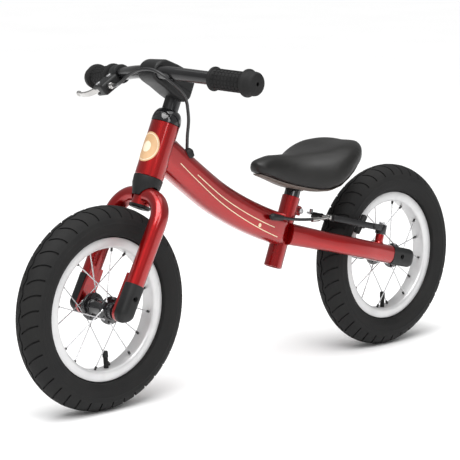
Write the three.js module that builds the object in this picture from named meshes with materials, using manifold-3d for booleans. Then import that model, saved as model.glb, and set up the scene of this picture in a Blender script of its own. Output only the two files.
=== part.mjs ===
// A child's balance bike with two spoked 12 1/2 inch wheels, a curved main tube, a rear rim
// brake worked by a lever on the rider's right, and a height-adjustable stem and saddle.
// Millimetres. +Z up, the bike faces -Y, the rider's left is +X. The origin lies on the ground
// under the middle of the bike.

import * as THREE from "three";
import { mergeVertices } from "three/addons/utils/BufferGeometryUtils.js";
import Module from "manifold-3d";

const wasm = await Module();
wasm.setup();

// ---- driving dimensions ----------------------------------------------------------------

const CLEARANCE = 0.3; // between two pieces that touch

const WHEELBASE = 630;
const TYRE_RADIUS = 154; // half of the inflated outside diameter
const TYRE_WIDTH = 52;
const TYRE_WALL = 3.6;
const RIM_RADIUS = 108; // top edge of the rim's two flanges
const RIM_WIDTH = 28.8;
const RIM_WALL = 2;
const BEAD_RADIUS = 101.5; // the 203 mm bead seat
const RIM_BED_RADIUS = 92;
const SPOKE_COUNT = 16;
const SPOKE_DIAMETER = 2;
const HUB_FLANGE_RADIUS = 21;
const HUB_FLANGE_OFFSET = 20;
const HUB_BODY_RADIUS = 12;
const HUB_HALF_WIDTH = 33;
const AXLE_RADIUS = 4.75;
const VALVE_RADIUS = 3.6;
const VALVE_REACH = 24; // how far the stem stands out of the rim

const HEAD_ANGLE = 66; // steering axis above the ground, degrees
const FORK_OFFSET = 11.9;
const FORK_LENGTH = 209; // along the steering axis, axle to the lower end of the head tube
const HEAD_LENGTH = 85;
const HEAD_RADIUS = 22.3;
const HEAD_BORE = 20;
const STEERER_RADIUS = 14.3;
const STEERER_BORE = 12.9;
const BLADE_OFFSET = 51; // middle of each fork leg and chainstay from the wheel's plane
const FORK_BLADE = { across: 25, deep: 28, wall: 1.6 };
const CROWN_DROP = 28.5; // head tube's lower end to the middle of the fork crown
const CROWN_BEND = 37;

const MAIN_TUBE = { across: 42, deep: 52, corner: 18, wall: 1.8 };
const SEAT_ANGLE = 68.8;
const SEAT_TUBE_RADIUS = 14.8;
const SEAT_TUBE_BORE = 13;
const SEAT_TUBE_LENGTH = 118;
const SEAT_TUBE_FOOT = [46.4, 167.7]; // y and z of its lower end
const STAY = { across: 24, deep: 31, wall: 1.6 };
const STAY_ANGLE = 15.1; // chainstays above the horizontal, degrees
const STAY_LENGTH = 252; // axle to where the stays meet the seat tube

const END_COVER_LENGTH = 45; // from the axle up to the tube
const DROPOUT_THICKNESS = 5;
const DROPOUT_RADIUS = 12;

const STEM_RISE = 149; // bar centre above the head tube's lower end, along the axis
const STEM_REACH = 50; // bar centre ahead of the steering axis
const STEM_RADIUS = 12.5;
const STEM_COVER_WIDTH = 44;
const BAR_TURN = 7.3; // the stem is clamped this far round in the fork, degrees
const BAR_RADIUS = 10;
const BAR_SWEEP = 12;
const BAR_STRAIGHT = 40;
const BAR_REACH = 205; // half of the bar's width
const GRIP_LENGTH = 84;
const GRIP_RADIUS = 15;
const LEVER_PLACE = 108; // brake lever's clamp from the middle of the bar

const SADDLE_LENGTH = 231;
const SADDLE_WIDTH = 146;
const SADDLE_HEIGHT = 320; // middle of the pad above the ground
const POST_RADIUS = 12.7;
const POST_INSERT = 85; // post inside the seat tube

const ARM_PIVOT = [BLADE_OFFSET - 3, 73, 36]; // from the rear axle: across, forward along the stay, above it
const ARM_LENGTH = 92;

// ---- colours and finishes ----------------------------------------------------------------

const finish = (color, roughness, metalness) =>
  new THREE.MeshStandardMaterial({ color, roughness, metalness });

const RED_PAINT = finish(0xb5101a, 0.25, 0.4);
const BLACK_RUBBER = finish(0x1b1b1c, 0.85, 0);
const BLACK_PLASTIC = finish(0x2c2c2e, 0.55, 0);
const GLOSS_BLACK = finish(0x131314, 0.2, 0.1);
const BLACK_STEEL = finish(0x18181a, 0.35, 0.6);
const ALUMINIUM = finish(0xd6d6d4, 0.35, 0.9);
const STEEL = finish(0xb9babc, 0.3, 0.95);
const LEATHERETTE = finish(0x202021, 0.5, 0);
const TAUPE_PLASTIC = finish(0x5b524c, 0.6, 0);
const CABLE_BLACK = finish(0x161617, 0.45, 0);

// ---- small geometry helpers --------------------------------------------------------------

const radians = THREE.MathUtils.degToRad;
const V = (x, y, z) => new THREE.Vector3(x, y, z);

function mesh(name, geometry, material) {
  const made = new THREE.Mesh(geometry, material);
  made.name = name;
  return made;
}

function toSolid(geometry) {
  const bare = geometry.clone();
  bare.deleteAttribute("normal");
  bare.deleteAttribute("uv");
  const merged = mergeVertices(bare, 1e-4);
  const triVerts = Uint32Array.from(merged.index.array);
  const vertProperties = Float32Array.from(merged.attributes.position.array);
  return new wasm.Manifold(new wasm.Mesh({ numProp: 3, vertProperties, triVerts }));
}

function toGeometry(solid) {
  const data = solid.getMesh();
  const geometry = new THREE.BufferGeometry();
  geometry.setAttribute("position", new THREE.BufferAttribute(data.vertProperties, 3));
  geometry.setIndex(new THREE.BufferAttribute(data.triVerts, 1));
  geometry.computeVertexNormals();
  return geometry;
}

function cut(body, ...tools) {
  return toGeometry(tools.reduce((left, tool) => left.subtract(toSolid(tool)), toSolid(body)));
}

function join(...bodies) {
  return toGeometry(bodies.map(toSolid).reduce((all, body) => all.add(body)));
}

// A rod or disc along +X, +Y or +Z, centred on its own middle.
function rod(radius, length, axis = "z", sides = 24) {
  const geometry = new THREE.CylinderGeometry(radius, radius, length, sides);
  if (axis === "x") geometry.rotateZ(-Math.PI / 2);
  if (axis === "z") geometry.rotateX(Math.PI / 2);
  return geometry;
}

function box(x, y, z) {
  return new THREE.BoxGeometry(x, y, z);
}

// A ring turned about +Z from a closed outline of [radius, z] points.
function turned(outline, sides = 24) {
  const closed = [...outline, outline[0]].map(([r, z]) => new THREE.Vector2(r, z));
  return facingOut(new THREE.LatheGeometry(closed, sides).rotateX(Math.PI / 2));
}

// A lathe turned either way round comes out with its faces outward.
function facingOut(geometry) {
  const bare = geometry.clone();
  bare.deleteAttribute("normal");
  bare.deleteAttribute("uv");
  const merged = mergeVertices(bare, 1e-4);
  const index = merged.index.array;
  const at = (i) => V().fromBufferAttribute(merged.attributes.position, index[i]);
  let volume = 0;
  for (let i = 0; i < index.length; i += 3) volume += at(i).dot(at(i + 1).cross(at(i + 2)));
  if (volume < 0) {
    for (let i = 0; i < index.length; i += 3) [index[i], index[i + 1]] = [index[i + 1], index[i]];
  }
  merged.computeVertexNormals();
  return merged;
}

// A closed outline with straight sides through [x, y] points.
function outline(points) {
  return new THREE.Shape(points.map(([x, y]) => new THREE.Vector2(x, y)));
}

// A rectangle with round corners; corners of half the short side make a flat oval.
function rounded(width, height, corner, Kind = THREE.Shape) {
  const [w, h] = [width / 2 - corner, height / 2 - corner];
  const shape = new Kind();
  shape.absarc(w, h, corner, 0, Math.PI / 2);
  shape.absarc(-w, h, corner, Math.PI / 2, Math.PI);
  shape.absarc(-w, -h, corner, Math.PI, 1.5 * Math.PI);
  shape.absarc(w, -h, corner, 1.5 * Math.PI, 2 * Math.PI);
  return shape;
}

function extruded(shape, depth, curveSegments = 6, bevel = 0) {
  const plain = { depth: depth - 2 * bevel, steps: 1, curveSegments };
  const edge = { bevelEnabled: bevel > 0, bevelThickness: bevel, bevelSize: bevel };
  const options = { ...plain, ...edge, bevelOffset: -bevel, bevelSegments: 1 };
  return new THREE.ExtrudeGeometry(shape, options).translate(0, 0, bevel - depth / 2);
}

// An outline in the (y, z) plane, given thickness along X.
function plate(shape, thickness, curveSegments = 6, bevel = 0) {
  const geometry = extruded(shape, thickness, curveSegments, bevel);
  return geometry.rotateX(Math.PI / 2).rotateZ(Math.PI / 2);
}

// A section swept along a path; a wall makes it a tube that is open at both ends.
function swept(section, path, steps, curveSegments = 6) {
  return new THREE.ExtrudeGeometry(section, {
    extrudePath: path,
    steps,
    curveSegments,
    bevelEnabled: false,
  });
}

function hollowSection(width, height, corner, wall) {
  const section = rounded(width, height, corner);
  const inside = [width - 2 * wall, height - 2 * wall, corner - wall];
  section.holes.push(rounded(...inside, THREE.Path));
  return section;
}

function circle(radius) {
  const shape = new THREE.Shape();
  shape.absarc(0, 0, radius, 0, 2 * Math.PI);
  return shape;
}

// A round cord along a smooth line through points.
function cord(points, radius, steps, sides = 8) {
  const path = new THREE.CatmullRomCurve3(points, false, "centripetal");
  return swept(circle(radius), path, steps, sides / 2);
}

function group(...children) {
  const made = new THREE.Group();
  made.add(...children);
  return made;
}

// ---- frames that the pieces are placed in -------------------------------------------------

const frontAxle = V(0, -WHEELBASE / 2, TYRE_RADIUS);
const rearAxle = V(0, WHEELBASE / 2, TYRE_RADIUS);
const steerUp = V(0, Math.cos(radians(HEAD_ANGLE)), Math.sin(radians(HEAD_ANGLE)));
const steerBack = V(0, Math.sin(radians(HEAD_ANGLE)), -Math.cos(radians(HEAD_ANGLE)));
// The lower end of the head tube, on the steering axis.
const headFoot = frontAxle
  .clone()
  .addScaledVector(steerUp, FORK_LENGTH)
  .addScaledVector(steerBack, FORK_OFFSET);
// The fork legs lean back a little from the steering axis, so that the axle lies ahead of it.
const BLADE_LENGTH = Math.hypot(FORK_LENGTH - CROWN_DROP, FORK_OFFSET);
const BLADE_LEAN = Math.atan2(FORK_OFFSET, FORK_LENGTH - CROWN_DROP);

// Z along the steering axis, origin at the head tube's lower end.
function placeOnSteering(made) {
  made.position.copy(headFoot);
  made.rotation.x = radians(HEAD_ANGLE - 90);
  return made;
}

// Z up along the fork legs, origin in the middle of the crown, inside the steering frame.
function placeOnCrown(made) {
  made.position.set(0, 0, -CROWN_DROP);
  made.rotation.x = -BLADE_LEAN;
  return made;
}

// Y to the rear along the chainstays, origin at the rear axle.
function placeOnStays(made) {
  made.position.copy(rearAxle);
  made.rotation.x = radians(-STAY_ANGLE);
  return made;
}

// Z up along the seat tube, origin at its lower end.
function placeOnSeatTube(made) {
  made.position.set(0, ...SEAT_TUBE_FOOT);
  made.rotation.x = radians(SEAT_ANGLE - 90);
  return made;
}

// Axes of the handlebar, origin at the middle of the bar, inside the steering frame.
function placeOnBar(made) {
  const turn = radians(-BAR_TURN);
  made.position.copy(V(0, -STEM_REACH, STEM_RISE).applyAxisAngle(V(0, 0, 1), turn));
  made.rotation.z = turn;
  return made;
}

// A geometry moved from one frame into another, for cutting one piece by its neighbour.
function moved(geometry, place, invert = false) {
  const frame = place(new THREE.Group());
  frame.updateMatrix();
  const matrix = frame.matrix.clone();
  return geometry.clone().applyMatrix4(invert ? matrix.invert() : matrix);
}

// ---- wheels --------------------------------------------------------------------------------

const aboutX = (geometry) => geometry.rotateY(Math.PI / 2);
const WHEEL_SIDES = 28;
const sectionRadius = TYRE_WIDTH / 2;
const sectionCentre = TYRE_RADIUS - sectionRadius;
const flangeInside = RIM_WIDTH / 2 - RIM_WALL;

// The casing's round section, open towards the rim, with its two beads between the flanges.
function tyre() {
  const arc = (radius, from, to, count) =>
    Array.from({ length: count + 1 }, (_, i) => {
      const turn = radians(from + ((to - from) * i) / count);
      return [sectionCentre + radius * Math.sin(turn), radius * Math.cos(turn)];
    });
  const beadOut = flangeInside - CLEARANCE;
  const beadIn = beadOut - TYRE_WALL + 1;
  const beadFoot = BEAD_RADIUS + CLEARANCE;
  const beadTop = RIM_RADIUS + 1;
  const outside = arc(sectionRadius, -42, 222, 8);
  const inside = arc(sectionRadius - TYRE_WALL, 222, -42, 5);
  const right = [[beadTop, -beadOut], [beadFoot, -beadOut], [beadFoot, -beadIn], [beadTop, -beadIn]];
  const left = [[beadTop, beadIn], [beadFoot, beadIn], [beadFoot, beadOut], [beadTop, beadOut]];
  return aboutX(turned([...outside, ...right, ...inside, ...left], WHEEL_SIDES));
}

// The air tube with its valve stem, which narrows where the cap screws on.
const VALVE_NECK = 8;
const VALVE_NECK_RADIUS = 2.4;

function innerTube(turn) {
  const radius = sectionRadius - TYRE_WALL - 2.6;
  const ring = Array.from({ length: 8 }, (_, i) => {
    const step = (i / 8) * 2 * Math.PI;
    return [sectionCentre - 1 + radius * Math.sin(step), radius * Math.cos(step)];
  });
  const stemFoot = sectionCentre - radius + 2;
  const stemNeck = RIM_BED_RADIUS - VALVE_REACH + VALVE_NECK;
  const stem = rod(VALVE_RADIUS, stemFoot - stemNeck, "z", 10);
  stem.translate(0, 0, -(stemFoot + stemNeck) / 2);
  const neck = rod(VALVE_NECK_RADIUS, VALVE_NECK + 2, "z", 10);
  neck.translate(0, 0, -stemNeck + VALVE_NECK / 2 - 1);
  return join(aboutX(turned(ring, 24)), stem.rotateX(turn), neck.rotateX(turn));
}

function valveCap(turn) {
  const outer = VALVE_RADIUS + 0.8;
  const inner = VALVE_NECK_RADIUS + CLEARANCE;
  const open = -(RIM_BED_RADIUS - VALVE_REACH + VALVE_NECK) + CLEARANCE;
  const end = open + VALVE_NECK + 2;
  const cup = [[0, end], [0, end - 1.4], [inner, end - 1.4], [inner, open], [outer, open], [outer, end]];
  return turned(cup, 10).rotateX(turn);
}

// The rim: a wide shallow channel with two flanges, and the hole that the valve comes through.
function rim(turn) {
  const edge = RIM_WIDTH / 2;
  const half = [
    [RIM_BED_RADIUS, edge - 3.4],
    [RIM_BED_RADIUS + 4, edge],
    [RIM_RADIUS, edge],
    [RIM_RADIUS, flangeInside],
    [BEAD_RADIUS, flangeInside],
    [BEAD_RADIUS, flangeInside - 3.4],
    [RIM_BED_RADIUS + RIM_WALL, flangeInside - 5.4],
  ];
  const other = half.map(([r, x]) => [r, -x]).reverse();
  const hole = rod(VALVE_RADIUS + CLEARANCE, 2 * VALVE_REACH, "z", 12).translate(0, 0, -RIM_BED_RADIUS);
  return cut(aboutX(turned([...half, ...other], WHEEL_SIDES)), hole.rotateX(turn));
}

// All the spokes of a wheel, held at the rim by a thin band under their nipples. Each side's
// spokes leave the hub in pairs that cross, and the sides meet the rim in turn.
function spokes(turn) {
  const band = RIM_BED_RADIUS - CLEARANCE;
  const seat = aboutX(turned([[band - 1.3, -7], [band, -7], [band, 7], [band - 1.3, 7]], WHEEL_SIDES));
  const places = Array.from({ length: SPOKE_COUNT }, (_, k) => k);
  const wires = places.map((k) => {
    const side = k % 2 ? 1 : -1;
    const atRim = (k / SPOKE_COUNT) * 2 * Math.PI + Math.PI / SPOKE_COUNT;
    const atHub = atRim + (Math.floor(k / 2) % 2 ? 1 : -1) * (Math.PI / 4);
    const around = (radius, turn, x) => V(x, radius * Math.cos(turn), radius * Math.sin(turn));
    const from = around(HUB_FLANGE_RADIUS - 2.5, atHub, side * (HUB_FLANGE_OFFSET + 4.2));
    const to = around(band - 0.6, atRim, side * 4);
    return cord([from, to], SPOKE_DIAMETER / 2, 1, 4);
  });
  const hole = rod(VALVE_RADIUS + CLEARANCE, 10, "z", 10).translate(0, 0, -band);
  return cut(join(seat, ...wires), hole.rotateX(turn));
}

function hub() {
  const waist = HUB_BODY_RADIUS;
  const [low, high] = [HUB_FLANGE_OFFSET - 2, HUB_FLANGE_OFFSET + 2];
  const half = [
    [AXLE_RADIUS + 3.3, HUB_HALF_WIDTH],
    [waist + 1, HUB_HALF_WIDTH],
    [waist + 1.5, high + 1],
    [HUB_FLANGE_RADIUS, high],
    [HUB_FLANGE_RADIUS, low],
    [waist, low - 2],
  ];
  return aboutX(turned([...half, ...half.map(([r, x]) => [r, -x]).reverse()], 14));
}

// The axle with its bearing cones and the nuts that clamp it to the two dropouts.
function axle() {
  const plateIn = BLADE_OFFSET - FORK_BLADE.across / 2 + CLEARANCE;
  const plateOut = plateIn + DROPOUT_THICKNESS;
  const parts = [rod(AXLE_RADIUS, 2 * plateOut + 20, "x", 12)];
  for (const side of [-1, 1]) {
    const coneLength = plateIn - HUB_HALF_WIDTH - 2 * CLEARANCE;
    const cone = rod(AXLE_RADIUS + 3, coneLength, "x", 12);
    parts.push(cone.translate(side * (plateIn - CLEARANCE - coneLength / 2), 0, 0));
    const nut = rod(8.4, 7, "x", 6);
    parts.push(nut.translate(side * (plateOut + CLEARANCE + 3.5), 0, 0));
  }
  return join(...parts);
}

function wheel(name, place, valveTurn) {
  const turn = radians(valveTurn);
  const made = group(
    mesh(`${name}_tyre`, tyre(), BLACK_RUBBER),
    mesh(`${name}_inner_tube`, innerTube(turn), BLACK_RUBBER),
    mesh(`${name}_valve_cap`, valveCap(turn), BLACK_PLASTIC),
    mesh(`${name}_rim`, rim(turn), ALUMINIUM),
    mesh(`${name}_spokes`, spokes(turn), STEEL),
    mesh(`${name}_hub`, hub(), GLOSS_BLACK),
    mesh(`${name}_axle`, axle(), STEEL),
  );
  made.position.copy(place);
  return made;
}

// ---- tube ends: dropout plates and the covers over the axle nuts -------------------------------

// A plate welded inside a tube's end, with a round foot that the axle goes through. Its frame
// has the axle along X and the tube up +Z.
function dropout(side) {
  const shape = new THREE.Shape();
  shape.absarc(0, 0, DROPOUT_RADIUS, Math.PI, 2 * Math.PI);
  shape.lineTo(DROPOUT_RADIUS - 3, END_COVER_LENGTH + 14);
  shape.lineTo(3 - DROPOUT_RADIUS, END_COVER_LENGTH + 14);
  const inside = BLADE_OFFSET - FORK_BLADE.across / 2 + CLEARANCE;
  const middle = side * (inside + DROPOUT_THICKNESS / 2);
  const foot = plate(shape, DROPOUT_THICKNESS, 4).translate(middle, 0, 0);
  return cut(foot, rod(AXLE_RADIUS + CLEARANCE, 20, "x", 12).translate(middle, 0, 0));
}

// The cover that carries on the tube's shape past the axle, hollow over the nut, with the hole
// for the screw that holds it.
function endCover(side, depth) {
  const inside = BLADE_OFFSET - FORK_BLADE.across / 2 + 2 * CLEARANCE + DROPOUT_THICKNESS;
  const outside = BLADE_OFFSET + FORK_BLADE.across / 2;
  const shape = new THREE.Shape();
  shape.absarc(0, 0, depth / 2, Math.PI, 2 * Math.PI);
  shape.lineTo(depth / 2, END_COVER_LENGTH - CLEARANCE);
  shape.lineTo(-depth / 2, END_COVER_LENGTH - CLEARANCE);
  const middle = side * ((inside + outside) / 2);
  const body = plate(shape, outside - inside, 4, 3).translate(middle, 0, 0);
  const nutSpace = rod(10, 12, "x", 16).translate(side * (inside + 5), 0, 0);
  const screwHole = rod(2.6, 40, "x", 10).translate(middle, 0, 24);
  return cut(body, nutSpace, screwHole);
}

// ---- frame -----------------------------------------------------------------------------------

function headTube() {
  const ring = [[HEAD_BORE, 0], [HEAD_RADIUS, 0], [HEAD_RADIUS, HEAD_LENGTH], [HEAD_BORE, HEAD_LENGTH]];
  return turned(ring, 24);
}

// The seat tube goes right through below the main tube, and its open lower end is a second
// socket for the seat post. Two ears behind its upper end take the pinch bolt.
const EAR = { height: 16, reach: 12, width: 13, slot: 2.4, below: 26 };

function seatTube() {
  const [r, bore] = [SEAT_TUBE_RADIUS, SEAT_TUBE_BORE];
  const tube = turned([[bore, 0], [r, 0], [r, SEAT_TUBE_LENGTH], [bore, SEAT_TUBE_LENGTH]], 16);
  const height = SEAT_TUBE_LENGTH - EAR.below + EAR.height / 2;
  const ears = box(EAR.width, EAR.reach, EAR.height).translate(0, r + EAR.reach / 2 - 1, height);
  const slotHeight = EAR.below + 6;
  const slot = box(EAR.slot, EAR.reach + 8, slotHeight);
  slot.translate(0, r + EAR.reach / 2, SEAT_TUBE_LENGTH - slotHeight / 2 + 1);
  const hole = rod(2.8, 30, "x", 12).translate(0, r + EAR.reach / 2 + 0.5, height);
  return cut(join(tube, ears), slot, hole);
}

function seatClampBolt() {
  const shank = rod(2.5, EAR.width + 6, "x", 10);
  const head = rod(4.6, 4, "x", 12).translate(EAR.width / 2 + CLEARANCE + 2, 0, 0);
  const nut = rod(4.4, 4, "x", 6).translate(-(EAR.width / 2 + CLEARANCE + 2), 0, 0);
  const height = SEAT_TUBE_LENGTH - EAR.below + EAR.height / 2;
  return join(shank, head, nut).translate(0, SEAT_TUBE_RADIUS + EAR.reach / 2 + 0.5, height);
}

// The main tube sweeps down from the head tube and levels out towards the seat tube.
const MAIN_TUBE_LINE = [
  [-203, 386],
  [-172.7, 361.3],
  [-130, 328.5],
  [-84.5, 296],
  [-38.8, 270],
  [7.2, 248.3],
  [53.5, 230],
  [69, 224.6],
];

function mainTubePath() {
  const line = MAIN_TUBE_LINE.map(([y, z]) => V(0, y, z));
  return new THREE.CatmullRomCurve3(line, false, "centripetal");
}

function mainTube() {
  const { across, deep, corner, wall } = MAIN_TUBE;
  const tube = swept(hollowSection(across, deep, corner, wall), mainTubePath(), 6, 1);
  const head = rod(HEAD_RADIUS + CLEARANCE, 2 * HEAD_LENGTH, "z", 24);
  const seat = rod(SEAT_TUBE_RADIUS + CLEARANCE, 3 * SEAT_TUBE_LENGTH, "z", 16);
  const top = rod(GROMMET.hole, 30).rotateX(radians(GROMMET.upperTilt));
  const low = rod(GROMMET.hole, 20, "x");
  top.translate(...GROMMET.upper);
  low.translate(...GROMMET.lower);
  return cut(tube, moved(head, placeOnSteering), moved(seat, placeOnSeatTube), top, low);
}

// Rubber grommets where the brake housing goes into and comes out of the main tube.
const GROMMET = {
  hole: 4.6,
  lip: 8,
  height: 6,
  upper: [14, -151, 373],
  upperTilt: 20,
  lower: [20.5, 26, 254],
};
const HOUSING_RADIUS = 2.5;

const placeUpperGrommet = (made) => {
  made.position.set(...GROMMET.upper);
  made.rotation.x = radians(GROMMET.upperTilt);
  return made;
};

function upperGrommet() {
  const { hole, lip, height } = GROMMET;
  const dome = turned([[0, -6], [lip, -6], [lip, 1], [lip - 2, 4], [hole, height], [0, height]], 12);
  const { across, deep, corner } = MAIN_TUBE;
  const grown = rounded(across + 2 * CLEARANCE, deep + 2 * CLEARANCE, corner);
  const tube = swept(grown, mainTubePath(), 6, 1);
  const plug = rod(hole - CLEARANCE, 10, "z", 12).translate(0, 0, -2);
  return join(cut(dome, moved(tube, placeUpperGrommet, true)), plug);
}

// A chainstay in the stays' own frame: it leaves the side of the seat tube and swells out
// around the tyre, and the dropout plate is welded into its rear end.
function chainstay(side) {
  const line = [
    [17, -STAY_LENGTH],
    [23, -222],
    [34, -184],
    [45, -146],
    [BLADE_OFFSET - 0.5, -112],
    [BLADE_OFFSET, -80],
    [BLADE_OFFSET, -END_COVER_LENGTH],
  ];
  const path = new THREE.CatmullRomCurve3(line.map(([x, y]) => V(side * x, y, 0)), false, "centripetal");
  const { across, deep, wall } = STAY;
  const tube = swept(hollowSection(deep, across, across / 2 - 0.5, wall), path, 7, 1);
  const plateInStay = dropout(side).rotateX(Math.PI / 2);
  const [x, y, z] = ARM_PIVOT;
  const post = rod(7, z - STAY.deep / 2 - 5, "z", 16);
  post.translate(side * x, -y, (z + STAY.deep / 2 - 5) / 2 - 1);
  const seat = rod(SEAT_TUBE_RADIUS + CLEARANCE, 3 * SEAT_TUBE_LENGTH, "z", 16);
  const seatInStays = moved(moved(seat, placeOnSeatTube), placeOnStays, true);
  const thread = rod(3 + CLEARANCE, 20, "z", 12).translate(side * x, -y, z - 7);
  return cut(join(tube, plateInStay, post), seatInStays, thread);
}

// ---- fork and headset --------------------------------------------------------------------------

function forkLeg(side) {
  const start = STEERER_RADIUS - 4;
  const bendStart = BLADE_OFFSET - CROWN_BEND;
  const bend = Array.from({ length: 6 }, (_, i) => {
    const turn = (Math.PI / 2) * (1 - i / 5);
    return [bendStart + CROWN_BEND * Math.cos(turn), CROWN_BEND * (Math.sin(turn) - 1)];
  });
  const foot = -(BLADE_LENGTH - END_COVER_LENGTH);
  const straight = [[BLADE_OFFSET, foot * 0.55], [BLADE_OFFSET, foot]];
  const line = [[start, 0], ...bend, ...straight].map(([x, z]) => V(side * x, 0, z));
  const { across, deep, wall } = FORK_BLADE;
  const path = new THREE.CatmullRomCurve3(line, false, "centripetal");
  const tube = swept(hollowSection(across, deep, across / 2 - 0.5, wall), path, 8, 1);
  const foots = dropout(side).translate(0, 0, -BLADE_LENGTH);
  const steerer = rod(STEERER_RADIUS + CLEARANCE, 4 * CROWN_DROP, "z", 16);
  return cut(join(tube, foots), moved(steerer, placeOnCrown, true));
}

function steerer() {
  const [low, high] = [-CROWN_DROP - 15.5, HEAD_LENGTH + 13];
  const [r, bore] = [STEERER_RADIUS, STEERER_BORE];
  return turned([[bore, low], [r, low], [r, high], [bore, high]], 16);
}

function crownCap() {
  const top = -CROWN_DROP - 15.5 - CLEARANCE;
  return turned([[5, top], [5, top - 5], [14, top - 5], [17, top - 2], [17, top]], 16);
}

function bearing(low, high) {
  const [inside, outside] = [STEERER_RADIUS + CLEARANCE, HEAD_BORE - CLEARANCE];
  return turned([[inside, low], [outside, low], [outside, high], [inside, high]], 16);
}

// The domed cover over the upper bearing.
function headsetCover() {
  const foot = HEAD_LENGTH + CLEARANCE;
  const edge = HEAD_RADIUS + 0.4;
  const hole = STEM_RADIUS + 0.6;
  return turned([
    [edge, foot],
    [edge, foot + 4],
    [edge - 1.4, foot + 11],
    [edge - 4.6, foot + 17],
    [hole + 2, foot + 20.5],
    [hole, foot + 21],
    [hole, foot + 17],
    [edge - 6.6, foot + 14.5],
    [edge - 3.8, foot + 10],
    [edge - 2.6, foot + 4],
    [edge - 2.6, foot],
  ], 16);
}

// The collar under the head tube, with a skirt down over the front and back of the crown.
function lowerCollar() {
  const [top, low] = [-CLEARANCE, -CROWN_DROP + FORK_BLADE.across / 2 + 2.4];
  const inside = STEERER_RADIUS + CLEARANCE;
  const ring = turned([[inside, low], [HEAD_RADIUS + 0.9, low], [HEAD_RADIUS + 0.9, top], [inside, top]], 20);
  const skirts = [-1, 1].map((side) => {
    const skirt = extruded(rounded(26, 20, 6), 4, 3).rotateX(Math.PI / 2);
    return skirt.translate(0, side * (FORK_BLADE.deep / 2 + 3.4), low - 6);
  });
  return join(ring, ...skirts);
}

// ---- stem and handlebar -------------------------------------------------------------------------

// The quill stem: a post that slides in the fork's steerer and a clamp round the bar.
function quillStem() {
  const foot = -STEM_RISE + 22;
  const head = 8;
  const post = rod(STEM_RADIUS, head - foot, "z", 16).translate(0, STEM_REACH, (head + foot) / 2);
  const arm = box(24, STEM_REACH, 20).translate(0, STEM_REACH / 2, 0);
  const ring = rod(BAR_RADIUS + 1.3, 34, "x", 16);
  const hole = rod(BAR_RADIUS + CLEARANCE, 60, "x", 16);
  const boltHole = rod(4 + CLEARANCE, 2 * STEM_RISE, "z", 12).translate(0, STEM_REACH, 0);
  return cut(join(post, arm, ring), hole, boltHole);
}

// The long bolt down the middle of the quill, and the wedge it draws up under it.
function stemBolt() {
  const foot = -STEM_RISE + 4;
  const head = 10 + CLEARANCE;
  const bolt = rod(4, head - foot, "z", 12).translate(0, STEM_REACH, (head + foot) / 2);
  const cap = rod(6.5, 4, "z", 6).translate(0, STEM_REACH, head + 2);
  const wedge = rod(STEERER_BORE - CLEARANCE - 0.3, 16, "z", 16).translate(0, STEM_REACH, foot + 8);
  return join(bolt, cap, wedge);
}

// The plastic shroud round the stem's clamp and the middle of the bar.
function stemCover() {
  const side = outline([
    [-BAR_RADIUS - 3.5, -8],
    [-BAR_RADIUS - 3.5, 9],
    [-6, 19],
    [4, 22.5],
    [26, 23],
    [50, 21.5],
    [66, 10],
    [66, -17],
    [58, -27],
    [36, -23],
    [14, -BAR_RADIUS - 7.5],
    [-4, -BAR_RADIUS - 4.5],
  ]);
  const inside = outline([
    [-BAR_RADIUS - 1.5, -7],
    [-BAR_RADIUS - 1.5, 8],
    [-5, 17],
    [5, 20.5],
    [26, 21],
    [49, 19.5],
    [64, 9],
    [64, -16],
    [57, -24.5],
    [36, -20.6],
    [14, -BAR_RADIUS - 5.2],
    [-3, -BAR_RADIUS - 2.2],
  ]);
  const shell = plate(side, STEM_COVER_WIDTH, 4, 2);
  const space = plate(inside, STEM_COVER_WIDTH - 4);
  const barHole = rod(BAR_RADIUS + 2 * CLEARANCE, 60, "x", 16);
  const postHole = rod(STEM_RADIUS + CLEARANCE, 60, "z", 16).translate(0, STEM_REACH, -30);
  return cut(shell, space, barHole, postHole);
}

const barBack = (x) => Math.max(0, Math.abs(x) - BAR_STRAIGHT) * Math.tan(radians(BAR_SWEEP));

function handlebar() {
  const right = [BAR_REACH, 160, 110, 75, BAR_STRAIGHT + 12, BAR_STRAIGHT - 6, 18];
  const places = [...right.map((x) => -x), ...right.reverse()];
  const path = new THREE.CatmullRomCurve3(places.map((x) => V(x, barBack(x), 0)), false, "centripetal");
  const section = circle(BAR_RADIUS);
  const bore = new THREE.Path();
  bore.absarc(0, 0, BAR_RADIUS - 1.8, 0, 2 * Math.PI);
  section.holes.push(bore);
  return swept(section, path, 11, 6);
}

// Frame of one side of the bar at x from its middle, X along the bar.
function placeAlongBar(side, x) {
  return (made) => {
    made.position.set(side * x, barBack(x), 0);
    made.rotation.z = side * radians(BAR_SWEEP);
    return made;
  };
}

const GRIP_START = 128;

function grip(side) {
  const bore = BAR_RADIUS + CLEARANCE;
  const made = aboutX(turned([
    [bore, 0],
    [GRIP_RADIUS + 3, 0],
    [GRIP_RADIUS + 3, 4],
    [GRIP_RADIUS, 6],
    [GRIP_RADIUS, 62],
    [GRIP_RADIUS + 5.6, 64],
    [GRIP_RADIUS + 5.6, 68],
    [GRIP_RADIUS + 2.6, 71],
    [GRIP_RADIUS + 2, GRIP_LENGTH - 4],
    [GRIP_RADIUS - 1, GRIP_LENGTH],
    [3, GRIP_LENGTH],
    [3, GRIP_LENGTH - 3],
    [bore, GRIP_LENGTH - 3],
  ], 12));
  return side > 0 ? made : made.rotateZ(Math.PI);
}

// ---- brake lever ---------------------------------------------------------------------------------

const LEVER_TILT = 58; // the lever points this far down from straight ahead, degrees
const LEVER_PIVOT = [-5, -35];
const LEVER_REACH = 78;
const LEVER_CLAMP_BOLT = [5, -BAR_RADIUS - 7];

// X in along the bar, -Y the way the lever points, inside the handlebar's frame.
function placeOnLever(made) {
  const tilted = group(made);
  tilted.rotation.x = radians(LEVER_TILT);
  return placeAlongBar(-1, LEVER_PLACE)(group(tilted));
}

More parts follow.
